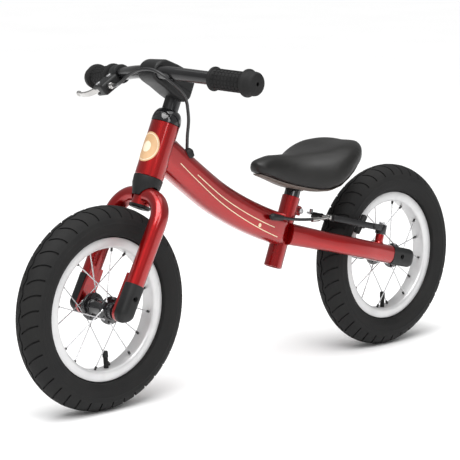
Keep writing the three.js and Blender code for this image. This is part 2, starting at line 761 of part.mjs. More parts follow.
function leverBracket() {
  const clamp = rod(BAR_RADIUS + 5, 20, "x", 16);
  const body = extruded(rounded(30, 30, 5), 17, 2, 1.5).translate(1, -27, 0);
  const boss = rod(6, 8, "x", 14).translate(17, -31, 0);
  const hole = rod(BAR_RADIUS + CLEARANCE, 40, "x", 12);
  const slot = box(24, 22, 8.6).translate(-9, -36, 0);
  const pinHole = rod(2.6, 30, "z", 12).translate(...LEVER_PIVOT, 0);
  const boltHole = rod(2.3, 40, "z", 12).translate(...LEVER_CLAMP_BOLT, 0);
  const wireHole = rod(2.2, 40, "x", 12).translate(17, -31, 0);
  return cut(join(clamp, body, boss), hole, slot, pinHole, boltHole, wireHole);
}

function leverBlade() {
  const [x, y] = LEVER_PIVOT;
  const knuckle = rod(6.4, 7.4, "z", 16).translate(x, y, 0);
  const neck = box(16, 7, 7.4).translate(x - 10, y - 3.5, 0);
  const line = [[x - 12, y - 4], [x - 28, y - 11], [x - 50, y - 12.5], [x - LEVER_REACH, y - 8]];
  const path = new THREE.CatmullRomCurve3(line.map(([a, b]) => V(a, b, 0)), false, "centripetal");
  const blade = swept(rounded(11, 4.4, 2), path, 8, 1);
  const tip = rod(4, 10, "z", 14).translate(x - LEVER_REACH, y - 8, 0);
  const pinHole = rod(2.6, 30, "z", 12).translate(x, y, 0);
  return cut(join(knuckle, neck, blade, tip), pinHole);
}

function leverPin() {
  const pin = rod(2.3, 20, "z", 12);
  const head = rod(4, 2, "z", 12).translate(0, 0, 9.8);
  return join(pin, head).translate(...LEVER_PIVOT, 0);
}

function leverClampBolt() {
  const shank = rod(2, 24, "z", 10);
  const head = rod(3.8, 3, "z", 12).translate(0, 0, 10.5);
  return join(shank, head).translate(...LEVER_CLAMP_BOLT, 0);
}

const ADJUSTER_END = 35;

function barrelAdjuster() {
  const [bore, thread] = [1.2, 2.2 - CLEARANCE];
  const face = 21 + CLEARANCE;
  const made = aboutX(turned([
    [bore, 12],
    [thread, 12],
    [thread, face],
    [5, face],
    [5, face + 5],
    [3.6, face + 6],
    [3.6, ADJUSTER_END],
    [bore, ADJUSTER_END],
  ], 10));
  return made.translate(0, -31, 0);
}

// ---- brake housing ---------------------------------------------------------------------------------

// From the lever round the front of the stem, down the left side and into the main tube. It is
// cut at a point beside the headset, so that each half bends with one joint. Points are given
// from the head tube's lower end.
const HOUSING_UPPER = [
  [-50, -BAR_RADIUS - 1.88, 138.91],
  [-27, -BAR_RADIUS - 1.88, 153.91],
  [0, -BAR_RADIUS - 1.88, 162.91],
  [22, -BAR_RADIUS + 1.12, 162.91],
  [41, -2.88, 153.91],
  [47, 17.12, 136.91],
  [43, 35.12, 120.91],
  [38, 44.12, 108.91],
];
const HOUSING_LOWER = [
  [37.6, 44.62, 107.81],
  [31, 53.12, 84.91],
  [23, 58.12, 60.91],
  [16.5, 63.52, 46.91],
  [14, 65.62, 39.81],
];
const HOUSING_REAR = [
  [26.8, 40.6, 251.4],
  [27.5, 62, 247],
  [28.8, 86, 243.6],
  [30, 106, 241.8],
];

const fromHeadFoot = ([x, y, z]) => V(x, y, z).add(headFoot);

function upperHousing() {
  const leverEnd = (x) => {
    const point = new THREE.Object3D();
    point.position.set(x, -31, 0);
    placeOnSteering(group(placeOnBar(group(placeOnLever(point)))));
    return point.getWorldPosition(V());
  };
  const start = [leverEnd(ADJUSTER_END + CLEARANCE), leverEnd(ADJUSTER_END + 8)];
  return cord([...start, ...HOUSING_UPPER.map(fromHeadFoot)], HOUSING_RADIUS, 24);
}

// A rubber hood on the side of the main tube, where the housing comes out towards the brake.
function lowerGrommet() {
  const [x, y, z] = GROMMET.lower;
  const hood = cord([V(x + 6.2, y - 12, z + 2.6), V(x + 6.3, y + 14.3, z - 2.6)], 4.8, 1, 12);
  const plug = rod(GROMMET.hole - CLEARANCE, 8, "x", 16).translate(x + 1, y, z);
  return join(hood, plug);
}

// ---- rear brake ------------------------------------------------------------------------------------

// Everything here is in the stays' frame: Y to the rear, Z square to the arms.
const ARM_THICKNESS = 10;
const ARM_LEVEL = ARM_PIVOT[2] + 4;
const PAD_PLACE = [20.7, -94.5];
const PAD = { thick: 8, long: 34, high: 9 };

function brakeArm(side) {
  const [x, y] = ARM_PIVOT;
  const end = y + ARM_LENGTH;
  const shape = outline([
    [x + 7, -y],
    [x + 5, -y - 30],
    [x - 10, -y - 70],
    [x - 22, -end - 3],
    [x - 33, -end - 3],
    [x - 33, -end + 6],
    [x - 21, -end + 26],
    [x - 9, -y - 28],
    [x - 7, -y],
  ]);
  const arm = extruded(shape, ARM_THICKNESS, 4, 1.5).translate(0, 0, ARM_LEVEL);
  const low = ARM_PIVOT[2] - 6 + CLEARANCE;
  const high = ARM_LEVEL + ARM_THICKNESS / 2 + 1;
  const knuckle = rod(9, high - low, "z", 18).translate(x, -y, (high + low) / 2);
  const pivotHole = rod(3 + CLEARANCE, 60, "z", 14).translate(x, -y, ARM_LEVEL);
  const padHole = rod(3 + CLEARANCE, 60, "x", 12).translate(x, PAD_PLACE[1], ARM_LEVEL);
  const made = cut(join(arm, knuckle), pivotHole, padHole);
  return side > 0 ? made : mirrored(made);
}

// The same piece on the other side of the bike.
function mirrored(geometry) {
  const made = geometry.clone().scale(-1, 1, 1);
  const index = made.index.array;
  for (let i = 0; i < index.length; i += 3) [index[i], index[i + 1]] = [index[i + 1], index[i]];
  made.computeVertexNormals();
  return made;
}

function brakePivotBolt() {
  const [x, y, z] = ARM_PIVOT;
  const top = ARM_LEVEL + ARM_THICKNESS / 2 + 1 + CLEARANCE;
  const low = z - 16;
  const shank = rod(3, top - low + 1, "z", 14).translate(x, -y, (top + low + 1) / 2);
  const head = rod(5.4, 4, "z", 6).translate(x, -y, top + 2);
  return join(shank, head);
}

// A rubber block square to the rim, on a bolt through the arm.
function brakePad() {
  const [x, y] = PAD_PLACE;
  const reach = ARM_PIVOT[0] + 10 - x;
  const block = box(PAD.thick, PAD.high, PAD.long);
  block.rotateX(-Math.atan2(ARM_LEVEL, -y));
  const bolt = rod(3, reach, "x", 12).translate(reach / 2, 0, 0);
  return join(block, bolt).translate(x, y, ARM_LEVEL);
}

// The bent tube that leads the wire across to the other arm, with its ferrule and the link that
// hangs it on the left arm.
const NOODLE = [
  [30, -224, 29.4],
  [30, -206, 33.6],
  [29.5, -190, 38],
  [25, -180, 40],
  [16, -176, 40],
  [3, -176, 40],
];

function noodle() {
  const line = NOODLE.map((p) => V(...p));
  const pipe = cord(line, 2.4, 10, 8);
  const ferrule = cord([line[0], line[0].clone().lerp(line[1], 0.55)], 3.6, 1, 12);
  const armEnd = -ARM_PIVOT[1] - ARM_LENGTH - 3 - CLEARANCE;
  const link = box(6, armEnd + 180, 8).translate(20, (armEnd - 180) / 2, ARM_LEVEL);
  const bore = cord([V(10, -176, 40), V(-2, -176, 40)], 1.4, 1, 8);
  return cut(join(pipe, ferrule, link), bore);
}

// The wire's end at its anchor on the right arm, and the bolt and plate that grip it.
function brakeWire() {
  const wire = cord([V(-10.5, -176, 40), V(-26, -176, 40)], 0.8, 1, 8);
  const clampPlate = box(9, 11.5, 3).translate(-21, -174.5, 42);
  const bolt = rod(3, 8, "z", 6).translate(-21, -174.5, 45);
  return join(wire, clampPlate, bolt);
}

function wireBoot() {
  const outside = [[3, -14], [3.6, -14], [4.6, 0], [4.6, 7]];
  const inside = [[3.4, 7], [3.4, 0], [1.4, -10], [1.4, -14]];
  return aboutX(turned([...outside, ...inside], 8)).translate(0, -176, 40);
}

// ---- saddle ----------------------------------------------------------------------------------------

// Seen from above: a narrow nose and a wide round tail.
function saddlePlan(inset) {
  const [tip, tail, wide] = [inset, SADDLE_LENGTH - inset, SADDLE_WIDTH / 2 - inset];
  const nose = 21 - inset;
  const shape = new THREE.Shape();
  shape.moveTo(0, tip);
  shape.bezierCurveTo(nose * 0.9, tip, nose, tip + 12, nose, tip + 30);
  shape.bezierCurveTo(nose + 4, tip + 78, wide, tip + 90, wide, tip + 142);
  shape.bezierCurveTo(wide, tail - 26, wide - 34, tail, 0, tail);
  shape.bezierCurveTo(34 - wide, tail, -wide, tail - 26, -wide, tip + 142);
  shape.bezierCurveTo(-wide, tip + 90, -nose - 4, tip + 78, -nose, tip + 30);
  shape.bezierCurveTo(-nose, tip + 12, -nose * 0.9, tip, 0, tip);
  return shape;
}

// Seen from the side, heights from the middle of the pad: the underside and the top.
const SADDLE_UNDER = [[0, 6], [20, 0], [50, -12], [80, -22], [116, -30], [137, -25], [166, -6], [200, 8]];
const SADDLE_TOP = [
  [232, 22], [225, 38], [205, 44], [170, 41], [130, 31], [90, 24], [40, 27], [8, 24], [-2, 14],
];

function saddleSide(raise) {
  return outline([...SADDLE_UNDER, ...SADDLE_TOP].map(([y, z]) => [y, z + raise]));
}

function saddleBody(inset, raise) {
  const plan = extruded(saddlePlan(inset), 160, 3);
  const side = plate(saddleSide(raise), SADDLE_WIDTH + 20);
  return toGeometry(toSolid(plan).intersect(toSolid(side)));
}

// A slab that follows the pad's underside, from below to above it.
function underSlab(inset, below, above) {
  const low = SADDLE_UNDER.map(([y, z]) => [y, z - below]);
  const high = SADDLE_UNDER.map(([y, z]) => [y, z + above]).reverse();
  const side = plate(outline([...low, ...high]), SADDLE_WIDTH);
  const plan = extruded(saddlePlan(inset), 160, 3);
  return toGeometry(toSolid(plan).intersect(toSolid(side)));
}

const BASE_INSET = 8;
const SADDLE_ORIGIN = V(0, 0, SADDLE_HEIGHT);
const placeSaddle = (made) => {
  made.position.copy(SADDLE_ORIGIN);
  return made;
};

function postRod(radius, from, to) {
  const post = rod(radius, to - from, "z", 16).translate(0, 0, (from + to) / 2);
  return moved(moved(post, placeOnSeatTube), placeSaddle, true);
}

const POST_TOP = SEAT_TUBE_LENGTH + 26;

function saddlePad() {
  const pocket = underSlab(BASE_INSET - CLEARANCE, 12, 8 + CLEARANCE);
  const boss = postRod(20 + CLEARANCE, SEAT_TUBE_LENGTH, POST_TOP + 4 + CLEARANCE);
  return cut(saddleBody(0, 0), pocket, boss);
}

// The moulded shell under the pad, with the socket that the seat post is fixed in.
function saddleBase() {
  const boss = postRod(20, SEAT_TUBE_LENGTH + 10, POST_TOP + 4);
  const socket = postRod(POST_RADIUS + CLEARANCE, SEAT_TUBE_LENGTH, POST_TOP + CLEARANCE);
  return cut(join(underSlab(BASE_INSET, 5, 8), boss), socket);
}

function seatPost() {
  return postRod(POST_RADIUS, SEAT_TUBE_LENGTH - POST_INSERT, POST_TOP);
}

// ---- the bike --------------------------------------------------------------------------------------

const lower = mesh("housing_grommet_lower", lowerGrommet(), BLACK_RUBBER);
const upper = placeUpperGrommet(mesh("housing_grommet_upper", upperGrommet(), BLACK_RUBBER));

const frame = group(
  placeOnSteering(
    group(
      mesh("head_tube", headTube(), RED_PAINT),
      mesh("headset_cover", headsetCover(), GLOSS_BLACK),
      mesh("headset_bearing_upper", bearing(HEAD_LENGTH - 11, HEAD_LENGTH - CLEARANCE), STEEL),
      mesh("headset_bearing_lower", bearing(CLEARANCE, 11), STEEL),
    ),
  ),
  mesh("main_tube", mainTube(), RED_PAINT),
  placeOnSeatTube(
    group(
      mesh("seat_tube", seatTube(), RED_PAINT),
      mesh("seat_clamp_bolt", seatClampBolt(), STEEL),
    ),
  ),
  placeOnStays(
    group(
      mesh("chainstay_left", chainstay(1), RED_PAINT),
      mesh("chainstay_right", chainstay(-1), RED_PAINT),
      mesh("brake_pivot_bolt_left", brakePivotBolt(), STEEL),
      mesh("brake_pivot_bolt_right", mirrored(brakePivotBolt()), STEEL),
      mesh("rear_cover_left", endCover(1, STAY.deep).rotateX(Math.PI / 2), BLACK_PLASTIC),
      mesh("rear_cover_right", endCover(-1, STAY.deep).rotateX(Math.PI / 2), BLACK_PLASTIC),
    ),
  ),
  upper,
  lower,
  mesh("housing_lower", cord(HOUSING_LOWER.map(fromHeadFoot), HOUSING_RADIUS, 12), CABLE_BLACK),
  mesh("housing_rear", cord(HOUSING_REAR.map((p) => V(...p)), HOUSING_RADIUS, 8), CABLE_BLACK),
);

const forkEnds = placeOnCrown(
  group(
    mesh("fork_leg_left", forkLeg(1), RED_PAINT),
    mesh("fork_leg_right", forkLeg(-1), RED_PAINT),
    mesh("fork_cover_left", endCover(1, FORK_BLADE.deep).translate(0, 0, -BLADE_LENGTH), BLACK_PLASTIC),
    mesh("fork_cover_right", endCover(-1, FORK_BLADE.deep).translate(0, 0, -BLADE_LENGTH), BLACK_PLASTIC),
  ),
);
const fork = placeOnSteering(
  group(
    mesh("steerer_tube", steerer(), RED_PAINT),
    mesh("crown_cap", crownCap(), BLACK_PLASTIC),
    mesh("lower_collar", lowerCollar(), BLACK_PLASTIC),
    forkEnds,
  ),
);

const lever = placeOnLever(
  group(
    mesh("lever_bracket", leverBracket(), BLACK_PLASTIC),
    mesh("lever_blade", leverBlade(), ALUMINIUM),
    mesh("lever_pin", leverPin(), STEEL),
    mesh("lever_clamp_bolt", leverClampBolt(), STEEL),
    mesh("barrel_adjuster", barrelAdjuster(), ALUMINIUM),
  ),
);
const bar = placeOnSteering(
  group(
    placeOnBar(
      group(
        mesh("quill_stem", quillStem(), BLACK_STEEL),
        mesh("stem_bolt", stemBolt(), STEEL),
        mesh("stem_cover", stemCover(), BLACK_PLASTIC),
        mesh("handlebar", handlebar(), GLOSS_BLACK),
        placeAlongBar(1, GRIP_START)(group(mesh("grip_left", grip(1), BLACK_RUBBER))),
        placeAlongBar(-1, GRIP_START)(group(mesh("grip_right", grip(-1), BLACK_RUBBER))),
        lever,
      ),
    ),
  ),
);
const housingUpper = mesh("housing_upper", upperHousing(), CABLE_BLACK);

const brake = placeOnStays(
  group(
    mesh("brake_arm_left", brakeArm(1), BLACK_STEEL),
    mesh("brake_arm_right", brakeArm(-1), BLACK_STEEL),
    mesh("brake_pad_left", brakePad(), BLACK_RUBBER),
    mesh("brake_pad_right", mirrored(brakePad()), BLACK_RUBBER),
    mesh("brake_noodle", noodle(), STEEL),
    mesh("brake_wire", brakeWire(), STEEL),
    mesh("brake_wire_boot", wireBoot(), BLACK_RUBBER),
  ),
);

const saddle = placeSaddle(
  group(
    mesh("saddle_pad", saddlePad(), LEATHERETTE),
    mesh("saddle_base", saddleBase(), TAUPE_PLASTIC),
    mesh("seat_post", seatPost(), GLOSS_BLACK),
  ),
);

export default group(
  frame,
  fork,
  bar,
  housingUpper,
  brake,
  saddle,
  wheel("front", frontAxle, 5),
  wheel("rear", rearAxle, 0),
);
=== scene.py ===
from math import atan2, cos, hypot, pi, radians, sin, tan

import bmesh
import bpy
from mathutils import Matrix, Vector


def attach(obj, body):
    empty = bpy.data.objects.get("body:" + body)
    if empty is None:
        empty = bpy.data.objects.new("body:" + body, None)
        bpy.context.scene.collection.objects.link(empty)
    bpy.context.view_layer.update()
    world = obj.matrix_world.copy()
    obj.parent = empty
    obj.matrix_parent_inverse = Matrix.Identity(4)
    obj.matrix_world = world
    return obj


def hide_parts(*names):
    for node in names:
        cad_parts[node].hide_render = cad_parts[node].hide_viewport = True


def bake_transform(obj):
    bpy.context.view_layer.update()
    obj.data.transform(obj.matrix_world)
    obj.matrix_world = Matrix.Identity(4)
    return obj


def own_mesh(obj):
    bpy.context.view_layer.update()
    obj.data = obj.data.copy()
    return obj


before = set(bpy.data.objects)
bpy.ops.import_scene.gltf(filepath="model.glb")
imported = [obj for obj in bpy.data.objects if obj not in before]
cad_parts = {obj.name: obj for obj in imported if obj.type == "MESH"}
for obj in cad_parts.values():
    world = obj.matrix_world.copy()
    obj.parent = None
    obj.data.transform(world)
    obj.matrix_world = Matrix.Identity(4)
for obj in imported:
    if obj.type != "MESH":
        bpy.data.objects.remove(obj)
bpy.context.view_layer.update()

# ---- camera, light and floor -------------------------------------------------------------------
# A child's balance bike seen from its front left on a plain pale studio floor, under one broad
# soft light overhead, a second from the front left and a pale surround.

turn_round, look_down = radians(45.684), radians(9.897)
back = Vector((sin(turn_round) * cos(look_down), -cos(turn_round) * cos(look_down), sin(look_down)))
bpy.ops.object.camera_add(location=(2.146913, -2.145278, 0.763015))
camera = bpy.context.object
camera.rotation_euler = (-back).to_track_quat("-Z", "Y").to_euler()
camera.data.sensor_width = 36
camera.data.lens = 152.09
bpy.context.scene.camera = camera

for spot, size, power in (
    ((0.2, -0.2, 2.2), 2.6, 34),
    ((2.0, -0.6, 1.5), 0.9, 9),
):
    bpy.ops.object.light_add(type="AREA", location=spot)
    lamp = bpy.context.object
    lamp.rotation_euler = (Vector(spot) - Vector((0, 0, 0.2))).to_track_quat("Z", "Y").to_euler()
    lamp.data.size = size
    lamp.data.energy = power

bpy.ops.object.light_add(type="SUN", rotation=(radians(24), radians(18), 0))
bpy.context.object.data.energy = 2.6
bpy.context.object.data.angle = radians(50)
bpy.context.scene.view_settings.view_transform = "Standard"

surround = bpy.data.worlds.new("pale_surround")
surround.use_nodes = True
surround.node_tree.nodes["Background"].inputs["Color"].default_value = (1, 1, 1, 1)
surround.node_tree.nodes["Background"].inputs["Strength"].default_value = 0.36
bpy.context.scene.world = surround


def finish(name, deep, bright, rough, patch=18, grain=600, lift=0.15, metal=0.0, coat=0.0, shine=0.5):
    """A surface whose colour and gloss drift in broad patches, with a fine grain over them."""
    made = bpy.data.materials.new(name)
    made.use_nodes = True
    nodes, wire = made.node_tree.nodes, made.node_tree.links.new
    shader = nodes["Principled BSDF"]
    shader.inputs["Metallic"].default_value = metal
    shader.inputs["Coat Weight"].default_value = coat
    shader.inputs["Specular IOR Level"].default_value = shine
    shader.inputs["Coat Roughness"].default_value = 0.04
    place = nodes.new("ShaderNodeTexCoord")
    patches = nodes.new("ShaderNodeTexNoise")
    patches.inputs["Scale"].default_value = patch
    patches.inputs["Detail"].default_value = 5
    wire(place.outputs["Object"], patches.inputs["Vector"])
    colour = nodes.new("ShaderNodeValToRGB")
    colour.color_ramp.elements[0].position = 0.3
    colour.color_ramp.elements[0].color = (*deep, 1)
    colour.color_ramp.elements[1].position = 0.7
    colour.color_ramp.elements[1].color = (*bright, 1)
    wire(patches.outputs["Fac"], colour.inputs["Fac"])
    wire(colour.outputs["Color"], shader.inputs["Base Color"])
    specks = nodes.new("ShaderNodeTexNoise")
    specks.inputs["Scale"].default_value = grain
    specks.inputs["Detail"].default_value = 3
    wire(place.outputs["Object"], specks.inputs["Vector"])
    gloss = nodes.new("ShaderNodeMapRange")
    gloss.inputs["From Min"].default_value = 0.3
    gloss.inputs["From Max"].default_value = 0.7
    gloss.inputs["To Min"].default_value = rough[0]
    gloss.inputs["To Max"].default_value = rough[1]
    wire(patches.outputs["Fac"], gloss.inputs["Value"])
    wire(gloss.outputs["Result"], shader.inputs["Roughness"])
    relief = nodes.new("ShaderNodeBump")
    relief.inputs["Strength"].default_value = lift
    relief.inputs["Distance"].default_value = 0.0004
    wire(specks.outputs["Fac"], relief.inputs["Height"])
    wire(relief.outputs["Normal"], shader.inputs["Normal"])
    return made


floor_finish = finish("pale_floor", (0.97, 0.97, 0.97), (0.98, 0.98, 0.98), (0.7, 0.8), 2, 90, 0.005)
bpy.ops.mesh.primitive_plane_add(size=80, location=(0, 0, -0.0006))
floor = bpy.context.object
floor.name = "floor"
floor.data.materials.append(floor_finish)

# ---- brake housings ----------------------------------------------------------------------------
# Black plastic-covered steel housing, 5 mm thick. It runs from the lever round the front of the
# stem into the main tube, and comes out beside the seat tube towards the rear brake. All of it is
# held at both ends, so it is fixed line and no free cord.

MM = Matrix.Scale(0.001, 4)
HEAD_LEAN = radians(66 - 90)
steering = MM @ Matrix.Translation((0, -219.12, 340.09)) @ Matrix.Rotation(HEAD_LEAN, 4, "X")
bar_turn = Matrix.Rotation(radians(-7.3), 4, "Z")
bar_frame = steering @ Matrix.Translation(bar_turn @ Vector((0, -50, 149))) @ bar_turn


def along_bar(side, x):
    """The frame of one side of the bar, x from its middle, with X outward along the bar."""
    rest = max(0, x - 40) * tan(radians(12))
    return bar_frame @ Matrix.Translation((side * x, rest, 0)) @ Matrix.Rotation(side * radians(12), 4, "Z")


lever_frame = along_bar(-1, 108) @ Matrix.Rotation(radians(58), 4, "X")
stay_frame = MM @ Matrix.Translation((0, 315, 154)) @ Matrix.Rotation(radians(-15.1), 4, "X")


def smooth_line(points, count):
    """Points spaced along a smooth line through the given ones."""
    known = [Vector(p) for p in points]
    known = [2 * known[0] - known[1], *known, 2 * known[-1] - known[-2]]
    legs = []
    for i in range(1, len(known) - 2):
        a, b, c, d = known[i - 1 : i + 3]
        t0, t1, t2 = ((q - p).length ** 0.5 for p, q in ((a, b), (b, c), (c, d)))
        out_b = ((b - a) / t0 - (c - a) / (t0 + t1) + (c - b) / t1) * t1
        out_c = ((c - b) / t1 - (d - b) / (t1 + t2) + (d - c) / t2) * t1
        legs.append((b, c, out_b, out_c))
    line = []
    for k in range(count):
        whole = k * len(legs) / (count - 1)
        leg = min(int(whole), len(legs) - 1)
        b, c, out_b, out_c = legs[leg]
        t = whole - leg
        line.append(
            b * (2 * t**3 - 3 * t**2 + 1) + out_b * (t**3 - 2 * t**2 + t)
            + c * (3 * t**2 - 2 * t**3) + out_c * (t**3 - t**2)
        )
    return line


def stations_on(line, side):
    """A frame at each point of a line, Z along it and X kept as near to side as it goes."""
    made, side = [], Vector(side)
    for i, point in enumerate(line):
        ahead = (line[min(i + 1, len(line) - 1)] - line[max(i - 1, 0)]).normalized()
        side = (side - ahead * side.dot(ahead)).normalized()
        turned = Matrix((side, ahead.cross(side), ahead)).transposed().to_4x4()
        made.append(Matrix.Translation(point) @ turned)
    return made


def lay_loop(name, points):
    """A closed loop of edges through the points, left in edit mode."""
    bpy.ops.object.select_all(action="DESELECT")
    bpy.ops.mesh.primitive_circle_add(vertices=len(points))
    piece = bpy.context.object
    piece.name = name
    for vertex, point in zip(piece.data.vertices, points):
        vertex.co = point
    bpy.ops.object.mode_set(mode="EDIT")
    bpy.ops.mesh.select_all(action="SELECT")
    return piece


def close_up(piece):
    """Merges what meets and turns every face outward, then leaves edit mode."""
    bpy.ops.mesh.select_all(action="SELECT")
    bpy.ops.mesh.remove_doubles(threshold=0.002)
    bpy.ops.mesh.normals_make_consistent(inside=False)
    bpy.ops.object.mode_set(mode="OBJECT")
    return piece


def pull_along(name, section, stations):
    """A solid drawn by extruding a section from station to station."""
    piece = lay_loop(name, [stations[0] @ Vector((x, y, 0)) for x, y in section])
    bpy.ops.mesh.edge_face_add()
    for last, station in zip(stations, stations[1:]):
        bpy.ops.mesh.extrude_region_move()
        step = station @ last.inverted()
        for vertex in bmesh.from_edit_mesh(piece.data).verts:
            if vertex.select:
                vertex.co = step @ vertex.co
    return close_up(piece)


def ring_section(radius, sides):
    return [(radius * cos(2 * pi * k / sides), radius * sin(2 * pi * k / sides)) for k in range(sides)]


def put(piece, place, material, body, slot, *nodes):
    """Sets a piece made in millimetres in its place and gives it its finish and body."""
    bpy.ops.object.select_all(action="DESELECT")
    bpy.context.view_layer.objects.active = piece
    piece.select_set(True)
    piece.matrix_world = place @ piece.matrix_world
    bpy.ops.object.transform_apply(location=True, rotation=True, scale=True)
    bpy.ops.object.shade_smooth_by_angle(angle=radians(38))
    piece.data.materials.clear()
    piece.data.materials.append(material)
    if nodes:
        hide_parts(*nodes)
    if isinstance(body, str):
        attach(piece, body)
    return piece


housing_cover = finish(
    "housing_cover", (0.006, 0.006, 0.007), (0.014, 0.014, 0.015), (0.32, 0.42), 60, 900, 0.1
)


def housing(name, points, count, body, *nodes):
    line = smooth_line(points, count)
    made = pull_along(name, ring_section(2.5, 14), stations_on(line, (1, 0.2, 0.1)))
    return put(made, MM, housing_cover, body, "cable_black", *nodes)


lever_ends = [MM.inverted() @ lever_frame @ Vector((x, -31, 0)) for x in (35.3, 43)]
upper_run = [
    *lever_ends,
    (-50, -231, 479), (-27, -231, 494), (0, -231, 503), (22, -228, 503),
    (41, -222, 494), (47, -202, 477), (43, -184, 461), (38, -175, 449),
]
housing_upper = housing("brake_housing_upper", upper_run, 72, None, "housing_upper")
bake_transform(housing_upper)
lower_run = [
    (37.8, -174.8, 448.4), (31, -166, 425), (23, -161, 401), (16.5, -155.6, 387), (14, -153.5, 379.9),
]
housing_lower = housing("brake_housing_lower", lower_run, 36, None, "housing_lower")
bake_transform(housing_lower)
rear_run = [(26.8, 40.6, 251.4), (27.5, 62, 247), (28.8, 86, 243.6), (30, 106, 241.8)]
housing_rear = housing("brake_housing_rear", rear_run, 24, None, "housing_rear")
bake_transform(housing_rear)

# ---- head tube ---------------------------------------------------------------------------------
# A straight steel tube, 85 mm long, with a reamed seat at each end for the headset's bearings. The
# frame is sprayed a see-through red over a bright metallic base and clear coated.


def turn(name, profile, steps, axis="Z"):
    """A ring turned about an axis from a closed profile of (radius, distance along) points."""
    spots = {
        "Z": [(r, 0, h) for r, h in profile],
        "X": [(h, r, 0) for r, h in profile],
        "Y": [(r, h, 0) for r, h in profile],
    }[axis]
    way = {"Z": (0, 0, 1), "X": (1, 0, 0), "Y": (0, 1, 0)}[axis]
    piece = lay_loop(name, spots)
    bpy.ops.mesh.spin(steps=steps, angle=2 * pi, center=(0, 0, 0), axis=way)
    return close_up(piece)


def soften(piece, width, segments=3, angle=35):
    """Rounds the sharp edges of a piece."""
    bpy.ops.object.select_all(action="DESELECT")
    bpy.context.view_layer.objects.active = piece
    piece.select_set(True)
    bpy.ops.object.modifier_add(type="BEVEL")
    edge = piece.modifiers[-1]
    edge.width = width
    edge.segments = segments
    edge.angle_limit = radians(angle)
    edge.harden_normals = False
    bpy.ops.object.modifier_apply(modifier=edge.name)
    return piece


def cut_away(piece, *tools):
    """Takes each tool's shape out of a piece."""
    bpy.ops.object.select_all(action="DESELECT")
    for tool in tools:
        tool.select_set(True)
    bpy.context.view_layer.objects.active = tools[0]
    bpy.ops.object.join()
    bpy.ops.object.select_all(action="DESELECT")
    bpy.context.view_layer.objects.active = piece
    piece.select_set(True)
    bpy.ops.object.modifier_add(type="BOOLEAN")
    saw = piece.modifiers[-1]
    saw.operation = "DIFFERENCE"
    saw.solver = "EXACT"
    saw.use_self = True
    saw.object = tools[0]
    bpy.ops.object.modifier_apply(modifier=saw.name)
    bpy.data.objects.remove(tools[0])
    return piece


def joined(name, *pieces):
    """Several shells made one piece."""
    bpy.ops.object.select_all(action="DESELECT")
    for piece in pieces:
        piece.select_set(True)
    bpy.context.view_layer.objects.active = pieces[0]
    bpy.ops.object.join()
    pieces[0].name = name
    return pieces[0]


def rod(name, radius, length, middle, axis="Z", sides=32):
    """A round bar of that length about its middle."""
    bpy.ops.object.select_all(action="DESELECT")
    lean = {"Z": (0, 0, 0), "X": (0, pi / 2, 0), "Y": (pi / 2, 0, 0)}[axis]
    bpy.ops.mesh.primitive_cylinder_add(
        vertices=sides, radius=radius, depth=length, location=middle, rotation=lean
    )
    bar = bpy.context.object
    bar.name = name
    bpy.ops.object.transform_apply(location=True, rotation=True, scale=True)
    return bar


red_paint = finish(
    "candy_red_paint", (0.28, 0.0012, 0.002), (0.38, 0.002, 0.003), (0.26, 0.34), 9, 2600,
    lift=0.05, metal=0.75, coat=1.0, shine=0.3,
)
head_profile = [
    (20.0, 0.4), (20.4, 0), (21.8, 0), (22.3, 0.6), (22.3, 84.4), (21.8, 85), (20.4, 85), (20.0, 84.6),
]
head_tube = turn("head_tube_painted", head_profile, 72)
put(head_tube, steering, red_paint, "frame", "red_paint", "head_tube")

# ---- head badge --------------------------------------------------------------------------------
# A printed foil badge, 41 by 47 mm, stuck to the front of the head tube: a tan face with a thin
# cream border line and a plain cream middle, and no lettering.


def badge(name, radius, lift, thickness, material):
    """A disc bent to the front of the head tube."""
    bpy.ops.object.select_all(action="DESELECT")
    bpy.ops.mesh.primitive_circle_add(vertices=48, radius=radius, fill_type="NGON")
    disc = bpy.context.object
    disc.name = name
    bpy.ops.object.mode_set(mode="EDIT")
    bpy.ops.mesh.select_all(action="SELECT")
    for _ in range(4):
        bpy.ops.mesh.inset(thickness=radius * 0.2)
    bpy.ops.mesh.select_all(action="SELECT")
    bpy.ops.mesh.extrude_region_move(TRANSFORM_OT_translate={"value": (0, 0, thickness)})
    bpy.ops.mesh.select_all(action="SELECT")
    bpy.ops.mesh.normals_make_consistent(inside=False)
    bpy.ops.object.mode_set(mode="OBJECT")
    for vertex in disc.data.vertices:
        x, y, z = vertex.co
        round_tube = x / 22.3
        y *= 1.14
        reach = 22.3 + lift + z
        vertex.co = (reach * sin(round_tube), -reach * cos(round_tube), 42 + y)
    return put(disc, steering, material, "frame", "red_paint")


badge_cream = finish("badge_cream", (0.74, 0.62, 0.45), (0.82, 0.72, 0.56), (0.3, 0.4), 40, 900, 0.05)
badge_tan = finish("badge_tan", (0.50, 0.30, 0.15), (0.62, 0.40, 0.22), (0.3, 0.4), 40, 900, 0.05)
badge("badge_face", 20.5, 0.03, 0.3, badge_tan)
badge("badge_border", 18.6, 0.34, 0.12, badge_cream)
badge("badge_field", 17.6, 0.47, 0.12, badge_tan)
badge("badge_middle", 7.5, 0.6, 0.12, badge_cream)

# ---- headset -----------------------------------------------------------------------------------
# A glossy black domed cover over the upper bearing, two pressed-in steel bearings, and a satin black
# collar flush with the head tube, that runs down to a tongue before and behind the fork crown.

